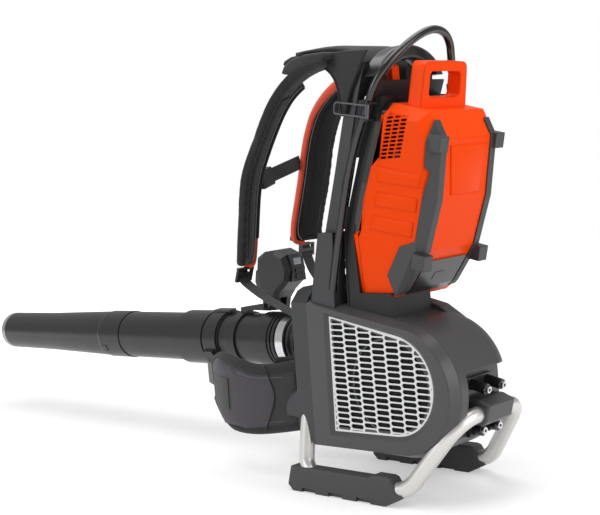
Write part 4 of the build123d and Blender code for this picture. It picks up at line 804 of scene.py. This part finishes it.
pulls = [web_band(name, [(x, y, z) for x, z in line], SIDEWAYS)
         for name, line, y in (("left", LEFT_WEB, -STRAP_Y), ("right", RIGHT_WEB, STRAP_Y))]
webbing = joined("harness_webbing", pulls + [chest_strap()])
sewn(webbing, "strap_webbing")

# %% [markdown]
# ## Flexible hose
#
# A corrugated rubber hose joins the elbow to the pipe and lets the pipe swing and lift, so the real hose
# bends at the swing joint and at the lift joint. It is one CAD solid, drawn here as two straight halves on
# the pipe's axis that meet at HOSE_SPLIT. Both are lathe shapes with rounded folds and a real wall.

# %% Hose
PIPE_DROOP = math.radians(0.9)
PIPE_AXIS = Vector((-math.cos(PIPE_DROOP), 0, -math.sin(PIPE_DROOP)))
MOUTH = Vector((-6.6, 140.0, 205.0))
HOSE_LENGTH = 192.5
CUFF = 26.0
FOLD_PITCH = HOSE_LENGTH / 12
HOSE_SPLIT = 118.0
HOSE_RADIUS = 50.2
FOLD_HEIGHT = 2.7
HOSE_WALL = 1.8
CUFF_RADIUS = 51.8
CUFF_BORE = 49.0
HOSE_CELLS = 60
LATHE_STEPS = 64


def on_pipe(distance):
    """Point on the pipe's axis at a distance in millimetres from the elbow's mouth."""
    return at(*(MOUTH + PIPE_AXIS * distance))


def hose_radius(distance):
    if distance < 0 or distance > HOSE_LENGTH:
        return CUFF_RADIUS
    return HOSE_RADIUS - FOLD_HEIGHT * math.cos(math.tau * distance / FOLD_PITCH)


def lathe(name, profile):
    """Closed surface of revolution round the pipe's axis from (distance, radius) pairs in millimetres."""
    up = PIPE_AXIS.cross(SIDEWAYS).normalized()
    turns = [math.tau * k / LATHE_STEPS for k in range(LATHE_STEPS)]
    spokes = [SIDEWAYS * math.cos(turn) + up * math.sin(turn) for turn in turns]
    shape = bmesh.new()
    rings = [[shape.verts.new(on_pipe(distance) + spoke * radius / 1000) for spoke in spokes]
             for distance, radius in profile]
    return skinned(name, shape, rings, closed=True)


def hose_half(name, start, end):
    stations = [start + (end - start) * i / HOSE_CELLS for i in range(HOSE_CELLS + 1)]
    outer = [(s, hose_radius(s)) for s in stations]
    inner = [(s, hose_radius(s) - HOSE_WALL if 0 < s < HOSE_LENGTH else CUFF_BORE)
             for s in reversed(stations)]
    return put_material(lathe(name, outer + inner), hose_rubber)


rear_half = settle(hose_half("hose_rear_half", -CUFF, HOSE_SPLIT), None, "black_rubber", "flex_hose")
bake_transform(rear_half)
front_half = hose_half("hose_front_half", HOSE_SPLIT, HOSE_LENGTH + CUFF)
settle(front_half, None, "black_rubber", "flex_hose")
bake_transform(front_half)

# %% [markdown]
# ## Inlet grille
#
# The air intake is a stamped steel sheet, painted light grey, with long rounded slots in columns. Every
# second column sits half a row lower, so the ribs between the columns zigzag. The sheet is drawn flat as a
# filled curve with holes: each slot is a convex outline, clipped by the convex D of the opening, which
# makes the short slots at the rim. Extrude and a small bevel round the edges of the bars. A black sheet
# behind it is painted shade, which makes the slots as dark as the shade inside the housing.

# %% Grille
SLOT_LENGTH = 26.6
SLOT_HEIGHT = 7.9
COLUMN_PITCH = 28.2
ROW_PITCH = 9.7
SLOT_START = (116.0, 102.0)
ROW_SLOPE = 0.035
LEAST_SLOT = 5.0
GRILLE_Y = -97.4
GRILLE_TOP = (103.5, 291.3)
GRILLE_LOW = (96.9, 105.9)
GRILLE_CENTRE = (223.7, 187.4)
GRILLE_RADIUS = 78.5
GRILLE_ARC = (-88, 66)
ARC_STEPS = 48
FILTER_BEHIND = 3.0
STAND_UP = Matrix(((1, 0, 0), (0, 0, -1), (0, 1, 0))).to_4x4()


def grille_outline(grow):
    """D outline as points: straight front, straight top and bottom, round rear."""
    radius = GRILLE_RADIUS + grow
    first, last = GRILLE_ARC
    turns = [math.radians(first + (last - first) * i / ARC_STEPS) for i in range(ARC_STEPS + 1)]
    return [(GRILLE_LOW[0] - grow, GRILLE_LOW[1] - grow * 0.8),
            *((GRILLE_CENTRE[0] + radius * math.cos(turn), GRILLE_CENTRE[1] + radius * math.sin(turn))
              for turn in turns),
            (GRILLE_TOP[0] - grow, GRILLE_TOP[1] + grow)]


def clipped(shape, outline):
    """Convex shape cut to a convex, anticlockwise outline."""
    for (ax, ay), (bx, by) in zip(outline, outline[1:] + outline[:1]):
        inside = [(bx - ax) * (y - ay) - (by - ay) * (x - ax) for x, y in shape]
        kept = []
        for i, (x, y) in enumerate(shape):
            before = inside[i - 1]
            if (before > 0) != (inside[i] > 0):
                share = before / (before - inside[i])
                px, py = shape[i - 1]
                kept.append((px + (x - px) * share, py + (y - py) * share))
            if inside[i] > 0:
                kept.append((x, y))
        shape = kept
        if not shape:
            break
    return shape


def half_turn(x, z, start):
    """Rounded end of a slot, as points from one angle in degrees through 180."""
    turns = [math.radians(a) for a in range(start, start + 181, 30)]
    return [(x + SLOT_HEIGHT / 2 * math.cos(turn), z + SLOT_HEIGHT / 2 * math.sin(turn)) for turn in turns]


def slot_outline(x, z):
    reach = SLOT_LENGTH / 2 - SLOT_HEIGHT / 2
    return half_turn(x + reach, z, -90) + half_turn(x - reach, z, 90)


def area_of(shape):
    return sum(x0 * y1 - x1 * y0 for (x0, y0), (x1, y1) in zip(shape, shape[1:] + shape[:1])) / 2


def slot_outlines():
    """The slots in staggered columns, each cut to the opening."""
    hole = grille_outline(-0.6)
    slots = []
    for column in range(-1, 9):
        for row in range(-1, 22):
            x = SLOT_START[0] + COLUMN_PITCH * column
            z = SLOT_START[1] + ROW_PITCH * (row + 0.5 * (column % 2)) - ROW_SLOPE * (x - 100)
            shape = clipped(slot_outline(x, z), hole)
            if len(shape) > 2 and area_of(shape) > LEAST_SLOT:
                slots.append(shape)
    print("slots", len(slots))
    return slots


def standing_sheet(name, outlines, y, half_thick, bevel, material):
    """Sheet across the blower at one y: the first outline filled, with the others as holes."""
    curve = bpy.data.curves.new(name, "CURVE")
    curve.dimensions = "2D"
    curve.fill_mode = "BOTH"
    curve.extrude = half_thick
    curve.bevel_depth = bevel
    curve.bevel_resolution = 1
    for outline in outlines:
        spline = curve.splines.new("POLY")
        spline.points.add(len(outline) - 1)
        for place, (x, z) in zip(spline.points, outline):
            place.co = (x / 1000, z / 1000, 0, 1)
        spline.use_cyclic_u = True
    sheet = evaluated_copy(link_new(name + "_outline", curve), name)
    sheet.data.transform(Matrix.Translation(at(0, y, 0)) @ STAND_UP)
    return put_material(sheet, material)


grille_paint = finish_material("grille_paint", "#E6E7E8", 0.3, metallic=0.1)
# Near-black with a grainy bump: painted shade for the grille's slots.
painted_shade_black = finish_material("painted_shade_black", "#0B0B0B", 0.95, grain=0.4, grain_size=500)
screen = standing_sheet("inlet_screen", [grille_outline(4.0)] + slot_outlines(), GRILLE_Y, 0.0004, 0.0004,
                        grille_paint)
settle(screen, "frame", "steel", "inlet_grille")
# The black sheet behind the slots is painted shade for the inside of the housing.
backing = standing_sheet("inlet_painted_shade", [grille_outline(2.0)], GRILLE_Y + FILTER_BEHIND, 0.0006, 0.0,
                         painted_shade_black)
sewn(backing)

# %% [markdown]
# ## Fabric between the posts and the shoulder pads
#
# From each post a fabric gusset rises to the yoke and closes the corner behind the shoulder pad, and a soft
# cap joins the pad's top to the yoke. Both are cut flat, so an extruded outline with rounded edges is
# enough. A black rim binds each gusset's edge, and a plastic tab stands out from the left cap.


# %% Flat soft pieces
def side_slab(name, outline, y_low, y_high, material, rounding=0.002):
    """Slab with a side outline in datum millimetres, between two places across the blower."""
    near, far = [[at(x, y, z) for x, z in outline] for y in (y_low, y_high)]
    return slab(name, near, far, rounding, material)


GUSSET = [(112, 706), (140, 713), (172, 713), (222, 709), (206, 689), (181, 650), (167, 616), (160, 612),
          (159.5, 630), (158, 650), (150, 674), (134, 690), (118, 697)]
CAP = [(52, 690), (60, 702), (80, 711), (106, 715), (150, 714), (152, 704), (120, 698), (90, 693), (66, 687)]
FAR_GUSSET = GUSSET[:3] + [(178, 700)] + GUSSET[5:]
GUSSET_RIM = [(118, 697), (134, 690), (150, 674), (158, 650), (160, 612)]
GUSSET_Y = (85.5, 91.5)
CAP_Y = (60.0, 112.0)
for side, word, outline in ((-1, "left", GUSSET), (1, "right", FAR_GUSSET)):
    low, high = sorted(side * y for y in GUSSET_Y)
    sewn(side_slab(f"{word}_gusset", outline, low, high, strap_shell))
    low, high = sorted(side * y for y in CAP_Y)
    sewn(side_slab(f"{word}_shoulder_cap", CAP, low, high, strap_shell, rounding=0.004))
    rim_line = [(x, side * sum(GUSSET_Y) / 2, z) for x, z in GUSSET_RIM]
    sewn(welt(f"{word}_gusset_rim", rim_line, side * SIDEWAYS, 0.0048, 0.0028, spacer_mesh))
TAB = [(46, 705), (50, 711), (66, 716), (110, 718), (110, 714), (82, 708), (58, 701)]
settle(side_slab("adjuster_tab", TAB, -98, -74, black_nylon, rounding=0.0012), "frame", "dark_shell")

# %% [markdown]
# ## Stitches
#
# The left wing of the belt is sewn along its top and bottom with a thick grey thread. A stitch is a tiny
# bead, and dozens of them follow each seam, so Geometry Nodes set them out: the seam's line becomes a
# curve, the curve is cut at the stitch spacing, and a stretched ball stands at each point, turned along the
# seam.

# %% Stitch tree
STITCH_SPACING = 0.0042
STITCH_INSET = 12
BELT_FACE = 9.4


def stitch_tree():
    tree = bpy.data.node_groups.new("stitches", "GeometryNodeTree")
    tree.interface.new_socket("Seam", in_out="INPUT", socket_type="NodeSocketGeometry")
    for label, value in (("Spacing", STITCH_SPACING), ("Half length", 0.0013), ("Half thickness", 0.0005)):
        socket = tree.interface.new_socket(label, in_out="INPUT", socket_type="NodeSocketFloat")
        socket.default_value = value
    tree.interface.new_socket("Thread", in_out="INPUT", socket_type="NodeSocketMaterial")
    tree.interface.new_socket("Stitches", in_out="OUTPUT", socket_type="NodeSocketGeometry")
    entry = add_node(tree, "NodeGroupInput").outputs
    line = add_node(tree, "GeometryNodeMeshToCurve", entry["Seam"])
    cut = add_node(tree, "GeometryNodeResampleCurve", line, Length=entry["Spacing"], _mode="LENGTH")
    ball = add_node(tree, "GeometryNodeMeshUVSphere", Segments=6, Rings=4, Radius=1.0)
    size = add_node(tree, "ShaderNodeCombineXYZ", entry["Half thickness"], entry["Half thickness"],
                    entry["Half length"])
    tangent = add_node(tree, "GeometryNodeInputTangent")
    turn = add_node(tree, "FunctionNodeAlignEulerToVector", Vector=tangent, _axis="Z")
    beads = add_node(tree, "GeometryNodeInstanceOnPoints", Points=cut, Instance=ball, Rotation=turn,
                     Scale=size)
    real = add_node(tree, "GeometryNodeRealizeInstances", beads)
    paint = add_node(tree, "GeometryNodeSetMaterial", real, Material=entry["Thread"])
    add_node(tree, "NodeGroupOutput", paint)
    return tree


STITCH_TREE = stitch_tree()


def stitched(name, points, thread):
    """Row of stitches along control points in datum millimetres."""
    line = smooth_path(points, 10)
    mesh = bpy.data.meshes.new(name)
    mesh.from_pydata(line, [(i, i + 1) for i in range(len(line) - 1)], [])
    piece = link_new(name + "_seam", mesh)
    maker = piece.modifiers.new("Stitches", "NODES")
    maker.node_group = STITCH_TREE
    for label, value in (("Spacing", STITCH_SPACING), ("Thread", thread)):
        maker[STITCH_TREE.interface.items_tree[label].identifier] = value
    piece = evaluated_copy(piece, name)
    print(name, "stitch faces", len(piece.data.polygons))
    return piece


for name, edge, rise in (("belt_upper_stitches", LEFT_TOP, -STITCH_INSET),
                         ("belt_lower_stitches", LEFT_LOW, STITCH_INSET)):
    row = on_belt(LEFT_BELT, edge[1:-1], BELT_FACE, rise)
    settle(stitched(name, row, thread_light), "frame", "belt_fabric")

# %% [markdown]
# ## Battery details
#
# The battery's shell is not plain. Three shallow steps cross each side. A thin orange skin reaches forward
# over the sides of the black front shell and ends in a stepped line. A raised field marks the back face's
# badge place, which stays bare here.

# %% Battery details
TAPER = 14.0 / 205.0
PACK_SIDE = 86.0
PACK_SHOULDER = 505.0
PATCH_DEPTH = 1.5
STEP_HEIGHT = 1.5
SKIN_HEIGHT = 0.8
FIELD_HEIGHT = 2.2


def pack_side(z):
    """Distance of the battery's side from its middle at a height."""
    return PACK_SIDE - max(0.0, PACK_SHOULDER - z) * TAPER


def raised_patch(name, corners, normal, proud, material, rounding):
    """Slab over a face: corners in datum millimetres, raised by proud along normal, with soft edges."""
    normal = Vector(normal)
    top = [at(*(Vector(corner) + normal * proud)) for corner in corners]
    base = [at(*(Vector(corner) - normal * PATCH_DEPTH)) for corner in corners]
    return slab(name, top, base, rounding, material)


def side_patch(name, outline, side, proud, rounding):
    """Orange patch on one side of the battery over an outline of (x, z) pairs."""
    corners = [(x, side * pack_side(z), z) for x, z in outline]
    return raised_patch(name, corners, (0, side, 0), proud, orange_abs, rounding)


STEPS = [[(222, 531), (250, 522), (280, 516), (303, 512), (299, 491), (217, 505)],
         [(214, 491), (250, 483), (292, 476), (286, 454), (205, 468)],
         [(200, 454), (236, 447), (279, 440), (271, 416), (191, 431)]]
for side, word in ((-1, "near"), (1, "far")):
    steps = [side_patch(f"step_{i}", outline, side, STEP_HEIGHT, 0.0012) for i, outline in enumerate(STEPS)]
    settle(joined(f"battery_{word}_steps", steps), "frame", "orange_shell")

BACK_TOP = (334.0, 562.0)
BACK_LOW = (315.4, 470.0)
back_normal = Vector((BACK_TOP[1] - BACK_LOW[1], 0, BACK_LOW[0] - BACK_TOP[0])).normalized()


def back_face(y, z):
    """Point on the battery's sloping back face."""
    (x0, z0), (x1, z1) = BACK_TOP, BACK_LOW
    return (x0 + (z - z0) * (x1 - x0) / (z1 - z0), y, z)


SKIN = [(152, 322), (151, 400), (153, 424), (171, 431), (178.5, 457), (184, 478), (207, 529), (225.5, 544),
        (236.5, 608), (240.7, 606), (213.1, 540), (164.6, 424), (160.5, 322)]
for side, word in ((-1, "near"), (1, "far")):
    settle(side_patch(f"battery_{word}_skin", SKIN, side, SKIN_HEIGHT, 0.0006), "frame", "orange_shell")

corners = [back_face(-46, 552), back_face(46, 552), back_face(36, 476), back_face(-36, 476)]
field = raised_patch("battery_back_field", corners, back_normal, FIELD_HEIGHT, orange_abs, rounding=0.0018)
settle(field, "frame", "orange_shell")

# %% [markdown]
# ## Grip screen
#
# The screen of the control grip sits in a sunk window of the dark thumb panel. Its place follows from the
# two mode keys below it.

# %% Grip screen
SCREEN_UP = 0.018
SCREEN_OUT = 0.0036
SCREEN_HALF_HEIGHT = 6.6
SCREEN_HALF_WIDTH = 10.4
SCREEN_PROUD = 0.6

upper_low, upper_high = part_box("mode_button_upper")
lower_low, lower_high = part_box("mode_button_lower")
upper_key = (upper_low + upper_high) / 2
lower_key = (lower_low + lower_high) / 2
panel_up = (upper_key - lower_key).normalized()
panel_out = Vector((panel_up.z, 0, -panel_up.x))
centre = (upper_key + panel_up * SCREEN_UP + panel_out * SCREEN_OUT - DATUM) * 1000
half_up, half_side = panel_up * SCREEN_HALF_HEIGHT, SIDEWAYS * SCREEN_HALF_WIDTH
corners = [centre - half_up - half_side, centre - half_up + half_side, centre + half_up + half_side,
           centre + half_up - half_side]
grip_screen = raised_patch("grip_screen", corners, panel_out, SCREEN_PROUD, display_glass, rounding=0.0006)
settle(grip_screen, "grip", "panel_plastic")

# %% [markdown]
# ## Painted shade in the battery carrier
#
# A thin black sheet closes the windows of the battery carrier from the front, so that no light shows
# between the posts. It is painted shade: a dark sheet where the carrier's gaps show only shade.

# %% Painted shade in the battery carrier
SHADE_SHEET = [(131.5, 300), (135.5, 423), (219, 634), (230, 661), (232.5, 660), (221.5, 633), (138, 422),
         (134, 300)]
# A black sheet of painted shade across the carrier's windows.
shade_sheet = side_slab("carrier_shade_sheet", SHADE_SHEET, -84, 84, painted_shade_nylon, rounding=0.0004)
settle(shade_sheet, "frame", "dark_shell")
